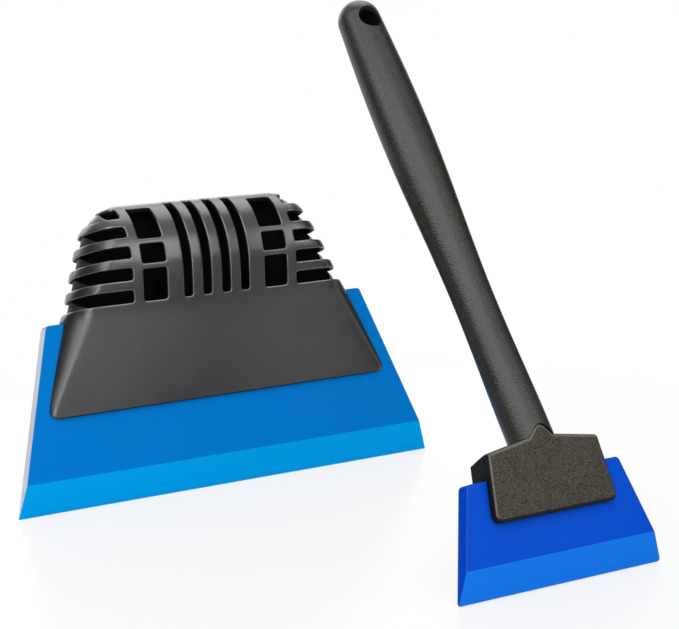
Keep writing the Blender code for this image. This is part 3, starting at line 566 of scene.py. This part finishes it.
def makePost(side, x, z):            # drilled through for the head at the rear, blind at the front
    s = screwsPalm
    top = s["postTop"]
    if side > 0:
        profile = [(s["shankHole"], s["webSide"]), (s["boss"], s["webSide"]), (s["boss"], top),
                   (s["headHole"], top), (s["headHole"], s["seat"]), (s["shankHole"], s["seat"]),
                   (s["shankHole"], s["webSide"])]
    else:
        profile = [(0.0, s["blind"]), (s["shankHole"], s["blind"]), (s["shankHole"], s["webSide"]),
                   (s["boss"], s["webSide"]), (s["boss"], top), (0.0, top)]
    post = turned(profile, s["postTurns"], along(x, z))
    for vert in post.verts:
        if vert.co.y > top - 1:
            vert.co.y = insideWall(vert.co.z)
        vert.co.y *= side
    bmesh.ops.recalc_face_normals(post, faces=post.faces)
    return post


def makeClampRib(side, x):
    c = clampRibs
    clear = palmGrip["slotHalf"]
    corners = [(clear, c["low"]), (insideWall(c["low"]), c["low"]),
               (insideWall(c["top"]), c["top"]), (clear, c["top"])]
    rib = bmesh.new()
    face = rib.faces.new([rib.verts.new((x - c["thick"] / 2, side * y, z)) for y, z in corners])
    grown = bmesh.ops.extrude_face_region(rib, geom=[face])["geom"]
    bmesh.ops.translate(rib, verts=vertsOf(grown), vec=(c["thick"], 0, 0))
    bmesh.ops.recalc_face_normals(rib, faces=rib.faces)
    return rib


# joins two ribs at an end of the cage, and tapers off along the slot's foot
def makeSunkRim(side, mirror, zLow, zHigh):
    g = palmGrip
    bm = bmesh.new()
    bmesh.ops.create_grid(bm, x_segments=g["rimGrid"][0], y_segments=g["rimGrid"][1], size=0.5)
    reach = {}
    for vert in bm.verts:
        back, up = vert.co.x + 0.5, vert.co.y + 0.5
        taper = g["rimTip"] + (1 - g["rimTip"]) * (1 - back) ** g["rimTaper"]
        z = zLow - g["rimOver"] + (zHigh - zLow + 2 * g["rimOver"]) * taper * up
        reach[vert] = (z, g["gap"] + g["rimReach"] * back, g["rimRecess"] + g["rimSink"] * back)

    def settleAt(vert, z, away, inset):
        path = sectionPath(z, inset)
        x, y = atLength(path, path[-1][0] - away)
        vert.co = (mirror * x, side * max(-y, g["gap"]), z)

    grown = bmesh.ops.extrude_face_region(bm, geom=bm.faces[:], use_keep_orig=True)["geom"]
    spots = {(round(v.co.x, 4), round(v.co.y, 4)): place for v, place in reach.items()}
    for vert in vertsOf(grown):
        z, away, inset = spots[(round(vert.co.x, 4), round(vert.co.y, 4))]
        settleAt(vert, z, away, inset + g["rimThick"])
    for vert, (z, away, inset) in reach.items():
        settleAt(vert, z, away, inset)
    bmesh.ops.recalc_face_normals(bm, faces=bm.faces)
    return bm


def mergeInto(bm, other):
    mesh = bpy.data.meshes.new("joined")
    other.to_mesh(mesh)
    other.free()
    bm.from_mesh(mesh)
    bpy.data.meshes.remove(mesh)


def makeInnerForms(side):
    g = palmGrip
    made = bmesh.new()
    for x, z in screwsPalm["places"]:
        mergeInto(made, makePost(side, x, z))
    for x in clampRibs["at"]:
        mergeInto(made, makeClampRib(side, x))
    # posts and ribs are painted near-black as shade
    for face in made.faces:
        face.material_index = 1
    for low, high in g["wrapRows"]:
        for mirror in (-1, 1):
            mergeInto(made, makeSunkRim(side, mirror, g["heights"][low][1], g["heights"][high][1]))
    return made


def joinMesh(piece, bm, place, sharpAngle):      # adds loose inner forms to a settled piece
    bm.transform(place)
    whole = bmesh.new()
    whole.from_mesh(piece.data)
    mergeInto(whole, bm)
    whole.to_mesh(piece.data)
    whole.free()
    piece.data.shade_smooth()
    piece.data.set_sharp_from_angle(angle=math.radians(sharpAngle))


for side, name, node, outside in (
    (-1, "palmFrontShell", "palm_front_shell", "gripSatin"),
    (1, "palmRearShell", "palm_rear_shell", "gripRearLighter"),
):
    shell = newPiece(name, makeShell(side), palmPlace, [outside, "gripShadeInside", "gripEdgeHighlight"])
    smoothing = shell.modifiers.new("smooth", "SUBSURF")
    smoothing.levels = palmGrip["smooth"]
    smoothing.render_levels = palmGrip["smooth"]
    if side > 0:              # the screws go in from the rear
        drills = []
        r, start, stop = screwsPalm["headHole"], screwsPalm["drillFrom"], screwsPalm["drillTo"]
        profile = [(0.0, start), (r, start), (r, stop), (0.0, stop)]
        for number, (x, z) in enumerate(screwsPalm["places"]):
            drill = turned(profile, screwsPalm["drillTurns"], along(x, z))
            # the drilled holes take the near-black painted shade
            drills.append(newPiece(f"drill{number}", drill, palmPlace, ["gripShadeInside"]))
        cutOut(shell, drills, sharpAngles["palm"])
    else:
        settle(shell, sharpAngles["palm"])
    joinMesh(shell, makeInnerForms(side), palmPlace, sharpAngles["palm"])
    handOver(shell, "palm_grip", node)
    print(name, "made:", len(shell.data.polygons), "faces")


# blades: a trapezoid plate with one chisel bevel
palmBlade = {"edge": 202.0, "top": 155.0, "height": 79.2, "bevel": 13.3, "land": 0.5, "half": 3.15,
             "corner": 1.5, "lowCorner": 0.4, "ease": 0.3, "endEase": 0.6}
longBlade = {"edge": 95.0, "top": 71.0, "height": 43.1, "bevel": 11.8, "land": 1.1, "half": 3.15,
             "corner": 1.5, "lowCorner": 1.5, "ease": 0.3, "endEase": 1.1}
# edges that turn further than easeFrom degrees are eased, the rest says which faces get which look: painted
# light on the bevel, painted reflection or painted shade on the ends, a painted highlight on the front edges
bladeTurns = {"easeFrom": 20.0, "end": 0.75, "edge": 0.25, "edgeFront": -0.2, "bevel": 0.97}


def makeBlade(b):
    tops = [(b["top"] / 2, b["height"]), (-b["top"] / 2, b["height"])]
    lows = [(-b["edge"] / 2, 0.0), (b["edge"] / 2, 0.0)]
    bm = extruded(lows + tops, -b["half"], b["half"])
    roundOff(bm, uprightEdges(bm, tops), b["corner"], 4)
    roundOff(bm, uprightEdges(bm, lows), b["lowCorner"], 4)
    ends = [e for e in flatEdges(bm, -b["half"])
            if abs(e.verts[0].co.z - e.verts[1].co.z) > 2 * abs(e.verts[0].co.x - e.verts[1].co.x)]
    roundOff(bm, ends, b["endEase"], 3)
    slope = Vector((0.0, -b["bevel"], b["land"] - 2 * b["half"])).normalized()
    bmesh.ops.bisect_plane(bm, geom=bm.verts[:] + bm.edges[:] + bm.faces[:], clear_outer=True,
                           plane_co=(0.0, -b["half"], b["bevel"]), plane_no=slope)
    bmesh.ops.edgeloop_fill(bm, edges=[e for e in bm.edges if e.is_boundary])
    closeUp(bm)
    t = bladeTurns
    easeFrom = math.radians(t["easeFrom"])
    sharp = [e for e in bm.edges if len(e.link_faces) == 2 and e.calc_face_angle() > easeFrom]
    roundOff(bm, sharp, b["ease"], 2)
    bmesh.ops.recalc_face_normals(bm, faces=bm.faces)
    for face in bm.faces:       # the looks are body, bevel with painted light, end with painted reflection (palm) and painted shade (long), edge with a painted highlight
        if abs(face.normal.x) > t["end"]:
            face.material_index = 2
        elif abs(face.normal.x) > t["edge"] and face.normal.y < t["edgeFront"]:
            face.material_index = 3
        elif face.normal.dot(slope) > t["bevel"]:
            face.material_index = 1
        else:
            face.material_index = 0
    return bm


# blade looks: body, bevel painted lighter as light, ends painted as reflection or shade, front edges painted
# as highlight
palmBlues = ["palmBlue", "palmBevelLitBlue", "palmEndReflectionPale", "palmEdgeHighlightPale"]
longBlues = ["longBlue", "longBevelLitBlue", "longEndShadeBlue", "longEdgeHighlightBlue"]
for name, blade, place, looks, node, slot in (
    ("palmBladePlate", palmBlade, palmPlace, palmBlues, "palm_blade", "palm_blade_blue"),
    ("longBladePlate", longBlade, longPlace, longBlues, "long_blade", "long_blade_blue"),
):
    plate = newPiece(name, makeBlade(blade), place, looks)
    plate.data.set_sharp_from_angle(angle=math.radians(sharpAngles["blade"]))
    handOver(plate, node, node)
    print(name, "made")


# head of the long scraper: front plate with its tongue, rear jaw
head = {"bottom": 26.6, "bottomHalf": 28.8, "shoulder": 52.9, "shoulderHalf": 25.9, "gable": 57.1,
        "slope": 0.162, "lowCorner": 3.5, "topCorner": 1.2, "plateBack": -3.45, "plateFront": -6.65,
        "plateEdge": 1.3, "tongueHalf": 5.9, "tongueTop": 60.8, "tonguePoint": 2.6, "archSteps": 24,
        "jawFront": -3.15, "jawBack": 7.65, "jawEdge": 1.8, "lowSteps": 8, "topSteps": 5, "plateSteps": 5,
        "jawSteps": 4, "roofDrop": 1.288, "roofHalf": 60.0, "bladeTop": 43.4, "slotHalf": 3.45,
        "tangHalf": 7.3, "tangFoot": 44.8, "tangBack": 1.95}
# which way the plate's faces turn where they get painted shade, and where they get a painted highlight
plateShadeAndHighlight = {"shadeBelow": -0.1, "shadeAbove": 0.8, "shadeLeft": -0.55, "shadeRight": 0.3,
             "highlightLeft": -0.1, "highlightTop": 0.1}
screwsLong = {"places": ((-16.0, 48.1), (0.0, 50.6), (16.0, 48.1)), "headHole": 2.9, "shankHole": 1.75,
              "seat": 5.45, "drillReach": 30.0, "drillTurns": 40, "headAt": 5.75, "tipAt": -5.05}
toolPast = {"side": 80.0, "front": 40.0, "below": 40.0, "above": 90.0}      # the jaw's tools reach past it


def headBlock(ridge, yFrom, yTo, edge, steps, clamp):
    low = [(-head["bottomHalf"], head["bottom"]), (head["bottomHalf"], head["bottom"])]
    top = [(head["shoulderHalf"], head["shoulder"]), (-head["shoulderHalf"], head["shoulder"])]
    bm = extruded(low + top[:1] + ridge + top[1:], yFrom, yTo)
    roundOff(bm, uprightEdges(bm, low), head["lowCorner"], head["lowSteps"])
    roundOff(bm, uprightEdges(bm, top), head["topCorner"], head["topSteps"])
    roundOff(bm, flatEdges(bm, yTo), edge, steps, clamp)
    closeUp(bm)
    return bm


def tongueArch(margin):
    half, steps = head["tongueHalf"] + margin, head["archSteps"]
    foot = head["gable"] - head["slope"] * head["tongueHalf"]
    rise = head["tongueTop"] + margin - foot
    angles = [step / steps * math.pi for step in range(steps + 1)]
    return [(half * math.cos(a), foot + rise * math.sin(a) ** head["tonguePoint"]) for a in angles]


def makeFrontPlate():
    w = plateShadeAndHighlight
    bm = headBlock(tongueArch(0.0), head["plateBack"], head["plateFront"], head["plateEdge"],
                   head["plateSteps"], clamp=False)
    bm.normal_update()
    for face in bm.faces:       # painted highlight where the face turns over, painted shade round the sides, the underside and the top
        side, up = face.normal.x, face.normal.z
        shadedFace = up < w["shadeBelow"] or side > w["shadeRight"] or side < w["shadeLeft"] or up > w["shadeAbove"]
        highlightFace = side < w["highlightLeft"] or up > w["highlightTop"]
        face.material_index = 1 if shadedFace else 2 if highlightFace else 0
    return bm


# the plate's looks are its grain, painted shade and a painted highlight
frontPlate = newPiece("longFrontPlate", makeFrontPlate(), longPlace, ["headGrain", "jawGrainAndPlateShade", "headEdgeHighlight"])
frontPlate.data.set_sharp_from_angle(angle=math.radians(sharpAngles["head"]))
handOver(frontPlate, "long_scraper", "long_front_plate")
print("front plate made")


def makeRearJaw():
    return headBlock([(0.0, head["gable"])], head["jawFront"], head["jawBack"], head["jawEdge"],
                     head["jawSteps"], clamp=True)


def roofTool():
    half, peak, reach = head["roofHalf"], -head["roofDrop"], toolPast["above"]
    eaves = peak - head["slope"] * half
    outline = [(-half, eaves), (0.0, peak), (half, eaves), (half, reach), (-half, reach)]
    return extruded(outline, -toolPast["side"], toolPast["side"])


def boxTool(low, high):
    bm = bmesh.new()
    low, high = Vector(low), Vector(high)
    scale = Matrix.Diagonal((*(high - low), 1.0))
    bmesh.ops.create_cube(bm, size=1.0, matrix=Matrix.Translation((low + high) / 2) @ scale)
    return bm


rearJaw = newPiece("longRearJaw", makeRearJaw(), longPlace, ["jawGrainAndPlateShade"])
bladeRoom = boxTool((-toolPast["side"], -toolPast["front"], -toolPast["below"]),
                    (toolPast["side"], head["slotHalf"], head["bladeTop"]))
tangPocket = boxTool((-head["tangHalf"], -toolPast["front"], head["tangFoot"]),
                     (head["tangHalf"], head["tangBack"], toolPast["above"]))
jawTools = [
    newPiece("bladeRoom", bladeRoom, longPlace, []),
    newPiece("aboveRoof", roofTool(), longPlace @ handleTurn, []),
    newPiece("tangPocket", tangPocket, longPlace, []),
]
r, s = screwsLong["headHole"], screwsLong["shankHole"]
seat, reach = screwsLong["seat"], screwsLong["drillReach"]
profile = [(0.0, -reach), (s, -reach), (s, seat), (r, seat), (r, reach), (0.0, reach)]
for number, (x, z) in enumerate(screwsLong["places"]):
    drill = turned(profile, screwsLong["drillTurns"], along(x, z))
    jawTools.append(newPiece(f"jawDrill{number}", drill, longPlace, []))
cutOut(rearJaw, jawTools, sharpAngles["head"])
handOver(rearJaw, "long_scraper", "long_rear_jaw")
print("rear jaw made")


# handle: a turned grip with a hang hole, notched for the tongue
handle = {"length": 207.5, "base": 9.2, "waist": 8.4, "waistAt": 56.0, "swell": 10.75, "swellAt": 144.0,
          "end": 9.2, "endRings": 18, "turns": 96, "rings": 84, "start": 0.5, "foot": -3.0, "footSunk": 0.9,
          "holeAt": 194.7, "hole": 4.7, "holeFlare": 0.8, "holeReach": 12.0, "holeTip": 30.0,
          "holeRings": 40, "holeTurns": 64, "flareFrom": 5.8, "flareOver": 3.3, "flareMost": 1.2,
          "rimFrom": 6.6, "notchGap": 0.05, "notchLow": 30.0, "notchBack": -5.6, "notchFront": -40.0}


def handleRadius(h):
    g = handle
    centre = g["length"] - g["end"]
    if h >= centre:
        return math.sqrt(max(0.0, g["end"] ** 2 - (h - centre) ** 2))
    if h >= g["swellAt"]:
        t = (h - g["swellAt"]) / (centre - g["swellAt"])
        return g["swell"] + (g["end"] - g["swell"]) * (1 - math.cos(t * math.pi / 2))
    if h >= g["waistAt"]:
        t = (h - g["waistAt"]) / (g["swellAt"] - g["waistAt"])
        return g["waist"] + (g["swell"] - g["waist"]) * (1 - math.cos(math.pi * t)) / 2
    t = max(h, 0.0) / g["waistAt"]
    return g["base"] + (g["waist"] - g["base"]) * (1 - math.cos(math.pi * t)) / 2


def makeHandle():
    g = handle
    centre = g["length"] - g["end"]
    start, rings = g["start"], g["rings"]
    heights = [start + (centre - start) * ring / rings for ring in range(rings + 1)]
    profile = [(0.0, g["foot"]), (g["base"], g["foot"])] + [(handleRadius(h), h) for h in heights]
    for ring in range(1, g["endRings"]):
        angle = ring / g["endRings"] * math.pi / 2
        profile.append((g["end"] * math.cos(angle), centre + g["end"] * math.sin(angle)))
    profile.append((0.0, g["length"]))
    bm = turned(profile, g["turns"], Matrix.Identity(4))
    for vert in bm.verts:       # the foot follows the head's sloping roof
        if vert.co.z < g["foot"] + 1:
            vert.co.z = -g["footSunk"] - head["roofDrop"] - head["slope"] * abs(vert.co.x)
    return bm


def holeTool():
    g = handle
    profile = [(0.0, -g["holeTip"])]
    for ring in range(g["holeRings"] + 1):
        depth = -g["holeReach"] + 2 * g["holeReach"] * ring / g["holeRings"]
        flare = max(0.0, abs(depth) - g["flareFrom"]) / g["flareOver"]
        profile.append((g["hole"] + g["holeFlare"] * min(flare, g["flareMost"]) ** 2, depth))
    profile.append((0.0, g["holeTip"]))
    bm = turned(profile, g["holeTurns"], along(0.0, g["holeAt"]))
    for face in bm.faces:       # the flared rim keeps the handle's finish, the hole's wall is painted near-black as shade
        face.material_index = int(abs(face.calc_center_median().y) > g["rimFrom"])
    return bm


def notchTool():            # room for the front plate's tongue
    g = handle
    arch = tongueArch(g["notchGap"])
    outline = [(arch[-1][0], g["notchLow"]), (arch[0][0], g["notchLow"])] + arch
    return extruded(outline, g["notchBack"], g["notchFront"])


handlePiece = newPiece("longHandle", makeHandle(), longPlace @ handleTurn, ["handleGrain"])
handleTools = [
    newPiece("hangHole", holeTool(), longPlace @ handleTurn, ["handleHoleShade", "handleGrain"]),
    newPiece("tongueNotch", notchTool(), longPlace, []),
]
cutOut(handlePiece, handleTools, sharpAngles["handle"])
handOver(handlePiece, "long_scraper", "long_handle")
print("handle made:", len(handlePiece.data.polygons), "faces")


# screws: pan heads with a cross recess
screw = {"shank": 1.45, "tip": 0.7, "tipLong": 1.4, "head": 2.6, "headHigh": 2.0, "flatTop": 1.2,
         "crownFrom": 1.7, "crownOut": 0.9, "crownDrop": 1.0, "crownSteps": 5, "turns": 32,
         "recess": 0.4, "recessReach": 1.4, "recessDeep": 1.1, "recessOver": 2.0}


def makeScrew(length, place):
    s = screw
    profile = [(0.0, s["headHigh"]), (s["flatTop"], s["headHigh"])]
    for step in range(1, s["crownSteps"] + 1):
        angle = step / s["crownSteps"] * math.pi / 2
        high = s["headHigh"] - s["crownDrop"] + s["crownDrop"] * math.cos(angle)
        profile.append((s["crownFrom"] + s["crownOut"] * math.sin(angle), high))
    profile += [(s["head"], 0.0), (s["shank"], 0.0), (s["shank"], s["tipLong"] - length),
                (s["tip"], -length), (0.0, -length)]
    bm = turned(list(reversed(profile)), s["turns"], Matrix.Identity(4))
    piece = newPiece("screwBlank", bm, place, ["screwZinc"])
    arm = ((s["recessReach"], -s["recess"]), (s["recessReach"], s["recess"]), (s["recess"], s["recess"]))
    cross = []
    for turn in range(4):
        spin = Matrix.Rotation(turn * math.pi / 2, 2)
        cross += [spin @ Vector(point) for point in arm]
    tool = extruded(cross, s["headHigh"] - s["recessDeep"], s["headHigh"] + s["recessOver"])
    tool.transform(Matrix.Rotation(math.radians(90), 4, "X"))
    socket = newPiece("crossRecess", tool, place, [])
    cutOut(piece, [socket], sharpAngles["screw"])
    return piece


def placeScrews(stem, node, screws, place, body):
    seat = screws["headAt"]
    for number, (x, z) in enumerate(screws["places"], 1):
        spot = place @ Matrix.Translation((x, seat, z)) @ Matrix.Rotation(math.radians(-90), 4, "X")
        piece = makeScrew(seat - screws["tipAt"], spot)
        piece.name = f"{stem}{number}"
        piece.data.name = piece.name
        handOver(piece, body, f"{node}_{number}")


placeScrews("palmScrew", "palm_shell_screw", screwsPalm, palmPlace, "palm_grip")
placeScrews("jawScrew", "long_jaw_screw", screwsLong, longPlace, "long_scraper")
print("screws made")

# the plate between the palm shells keeps its CAD shape and is painted near-black as the shade inside the
# grip
web = cadNodes["palm_core_web"]
web.data.materials.clear()
web.data.materials.append(plastics["coreShadeBlack"])


# pale floor, white surroundings, soft light
studio = {"floorSize": 14.0, "floorTurns": 96, "floorTint": (0.985, 0.988, 0.995, 1.0), "floorRough": 0.6,
          "floorMiddle": (0.02, -0.10, -0.0985), "floorSpan": (0.155, 0.30), "floorLit": (0.775, 1.0),
          "shineRough": 0.25, "shineSpan": (0.15, 0.26), "floorShine": (0.05, 0.0),
          "white": (1.0, 1.0, 1.0, 1.0), "worldLevel": 0.78, "card": (0.004, 0.004, 0.004, 1.0)}
lamps = {       # those with a gleam only show in reflections
    "overhead": {"at": (-0.46, -0.82, 1.14), "aim": (0.0, -0.10, 0.0), "size": (1.15, 1.2), "watts": 6.0},
    "overheadGleam": {"at": (-0.53, -0.80, 1.12), "aim": (0.0, -0.10, 0.0), "size": (1.44, 1.2),
                      "watts": 15.2, "gleam": True},
    "frontPanel": {"at": (0.50, -0.96, 0.62), "aim": (0.0, -0.05, 0.02), "size": (0.60, 0.60), "watts": 6.8,
                   "gleam": True},
    "lowPanel": {"at": (0.50, -1.15, 0.06), "aim": (0.0, -0.05, -0.03), "size": (0.45, 0.22), "watts": 0.19,
                 "gleam": True},
    "leftGleam": {"at": (-0.90, -0.09, 0.63), "aim": (0.05, -0.12, 0.03), "size": (0.70, 0.50), "watts": 7.0,
                  "gleam": True, "only": handlePiece},
    "topCard": {"at": (0.45, 0.52, 1.13), "aim": (0.0, -0.05, 0.0), "size": (1.1, 0.9), "watts": 10.5,
                "gleam": True},
    "leftStrip": {"at": (-0.58, -1.17, 0.10), "aim": (0.0, -0.05, -0.02), "size": (0.40, 0.8), "watts": 7.4,
                  "gleam": True},
    "backCard": {"at": (0.25, 1.9, 0.42), "aim": (0.0, 0.0, 0.02), "size": (2.4, 0.8), "watts": 10.0},
}
flags = {       # dark cards beside the set, seen only in reflections
    "leftFlag": {"at": (-1.00, 0.54, 0.25), "aim": (-0.05, -0.05, 0.0), "size": (1.50, 1.1)},
    "leftFrontFlag": {"at": (-0.90, -0.42, 0.15), "aim": (-0.05, -0.05, 0.0), "size": (0.58, 0.7)},
    "rightFlag": {"at": (0.66, 0.06, 0.26), "aim": (0.05, -0.1, 0.0), "size": (0.50, 0.74)},
    "rightLowFlag": {"at": (0.425, -0.41, -0.03), "aim": (0.05, -0.05, -0.02), "size": (0.34, 0.30)},
}


def seenRays(nodes, links):         # 1 for what the camera sees, straight or in a reflection
    lightPath = nodes.new("ShaderNodeLightPath")
    total = lightPath.outputs["Is Camera Ray"]
    for ray in ("Is Glossy Ray", "Is Transmission Ray"):
        add = nodes.new("ShaderNodeMath")
        add.operation = "ADD"
        links.new(total, add.inputs[0])
        links.new(lightPath.outputs[ray], add.inputs[1])
        total = add.outputs["Value"]
    add.use_clamp = True
    return total


def makeFloorFinish():
    s = studio
    material = bpy.data.materials.new("paleFloor")
    material.use_nodes = True
    nodes, links = material.node_tree.nodes, material.node_tree.links
    shader = nodes["Principled BSDF"]
    setInputs(shader, {"Base Color": s["floorTint"], "Roughness": s["floorRough"],
                       "Specular IOR Level": 0.0})
    glow = nodes.new("ShaderNodeEmission")
    setInputs(glow, {"Color": s["white"], "Strength": 1.0})
    shine = nodes.new("ShaderNodeBsdfGlossy")
    setInputs(shine, {"Roughness": s["shineRough"]})
    coords = nodes.new("ShaderNodeTexCoord")          # plain white away from the scrapers, shadows near them
    away = nodes.new("ShaderNodeVectorMath")
    away.operation = "DISTANCE"
    away.inputs[1].default_value = s["floorMiddle"]
    links.new(coords.outputs["Object"], away.inputs[0])
    fade = spanned(nodes, s["floorSpan"], s["floorLit"])
    links.new(away.outputs["Value"], fade.inputs["Value"])
    share = nodes.new("ShaderNodeMath")
    share.operation = "MULTIPLY"
    links.new(seenRays(nodes, links), share.inputs[0])
    links.new(fade.outputs["Result"], share.inputs[1])
    white = nodes.new("ShaderNodeMixShader")
    links.new(share.outputs["Value"], white.inputs["Fac"])
    links.new(shader.outputs["BSDF"], white.inputs[1])
    links.new(glow.outputs["Emission"], white.inputs[2])
    polish = spanned(nodes, s["shineSpan"], s["floorShine"])          # the shine shows only near the blades
    links.new(away.outputs["Value"], polish.inputs["Value"])
    polished = nodes.new("ShaderNodeMixShader")
    links.new(polish.outputs["Result"], polished.inputs["Fac"])
    links.new(white.outputs["Shader"], polished.inputs[1])
    links.new(shine.outputs["BSDF"], polished.inputs[2])
    links.new(polished.outputs["Shader"], nodes["Material Output"].inputs["Surface"])
    return material


def makeFloor():
    bm = bmesh.new()
    bmesh.ops.create_circle(bm, cap_ends=True, segments=studio["floorTurns"], radius=studio["floorSize"])
    bmesh.ops.translate(bm, verts=bm.verts, vec=(0.0, 0.0, standing["floor"]))
    mesh = bpy.data.meshes.new("studioFloor")
    bm.to_mesh(mesh)
    bm.free()
    mesh.materials.append(makeFloorFinish())
    floor = bpy.data.objects.new("studioFloor", mesh)
    scene.collection.objects.link(floor)


def makeWorld():
    world = bpy.data.worlds.new("studioWhite")
    world.use_nodes = True
    nodes, links = world.node_tree.nodes, world.node_tree.links
    lit, shown = nodes["Background"], nodes.new("ShaderNodeBackground")
    setInputs(lit, {"Color": studio["white"], "Strength": studio["worldLevel"]})
    setInputs(shown, {"Color": studio["white"], "Strength": 1.0})
    pick = nodes.new("ShaderNodeMixShader")
    links.new(seenRays(nodes, links), pick.inputs["Fac"])
    links.new(lit.outputs["Background"], pick.inputs[1])
    links.new(shown.outputs["Background"], pick.inputs[2])
    links.new(pick.outputs["Shader"], nodes["World Output"].inputs["Surface"])
    scene.world = world


def makeLamp(name, lamp):
    light = bpy.data.lights.new(name, "AREA")
    light.shape = "RECTANGLE"
    light.size, light.size_y = lamp["size"]
    light.energy = lamp["watts"]
    spot = bpy.data.objects.new(name, light)
    spot.location = lamp["at"]
    aim = Vector(lamp["aim"]) - Vector(lamp["at"])
    spot.rotation_euler = aim.to_track_quat("-Z", "Y").to_euler()
    spot.visible_diffuse = not lamp.get("gleam", False)
    scene.collection.objects.link(spot)
    if "only" in lamp:          # a small lamp held to one piece
        lit = bpy.data.collections.new(name)
        lit.objects.link(lamp["only"])
        spot.light_linking.receiver_collection = lit


def makeFlag(name, flag, material):
    bm = bmesh.new()
    bmesh.ops.create_grid(bm, x_segments=1, y_segments=1, size=0.5)
    bmesh.ops.scale(bm, vec=(*flag["size"], 1.0), verts=bm.verts)
    aim = Vector(flag["aim"]) - Vector(flag["at"])
    bm.transform(Matrix.Translation(flag["at"]) @ aim.to_track_quat("Z", "Y").to_matrix().to_4x4())
    mesh = bpy.data.meshes.new(name)
    bm.to_mesh(mesh)
    bm.free()
    mesh.materials.append(material)
    card = bpy.data.objects.new(name, mesh)
    card.visible_camera = False
    card.visible_diffuse = False
    card.visible_shadow = False
    card.visible_transmission = False
    scene.collection.objects.link(card)


makeFloor()
makeWorld()
cardBlack = bpy.data.materials.new("cardBlack")
cardBlack.use_nodes = True
cardShader = cardBlack.node_tree.nodes["Principled BSDF"]
setInputs(cardShader, {"Base Color": studio["card"], "Specular IOR Level": 0.0})
for name, flag in flags.items():
    makeFlag(name, flag, cardBlack)
for name, lamp in lamps.items():
    makeLamp(name, lamp)
scene.view_settings.view_transform = "Standard"
print("studio set")

bpy.context.view_layer.update()
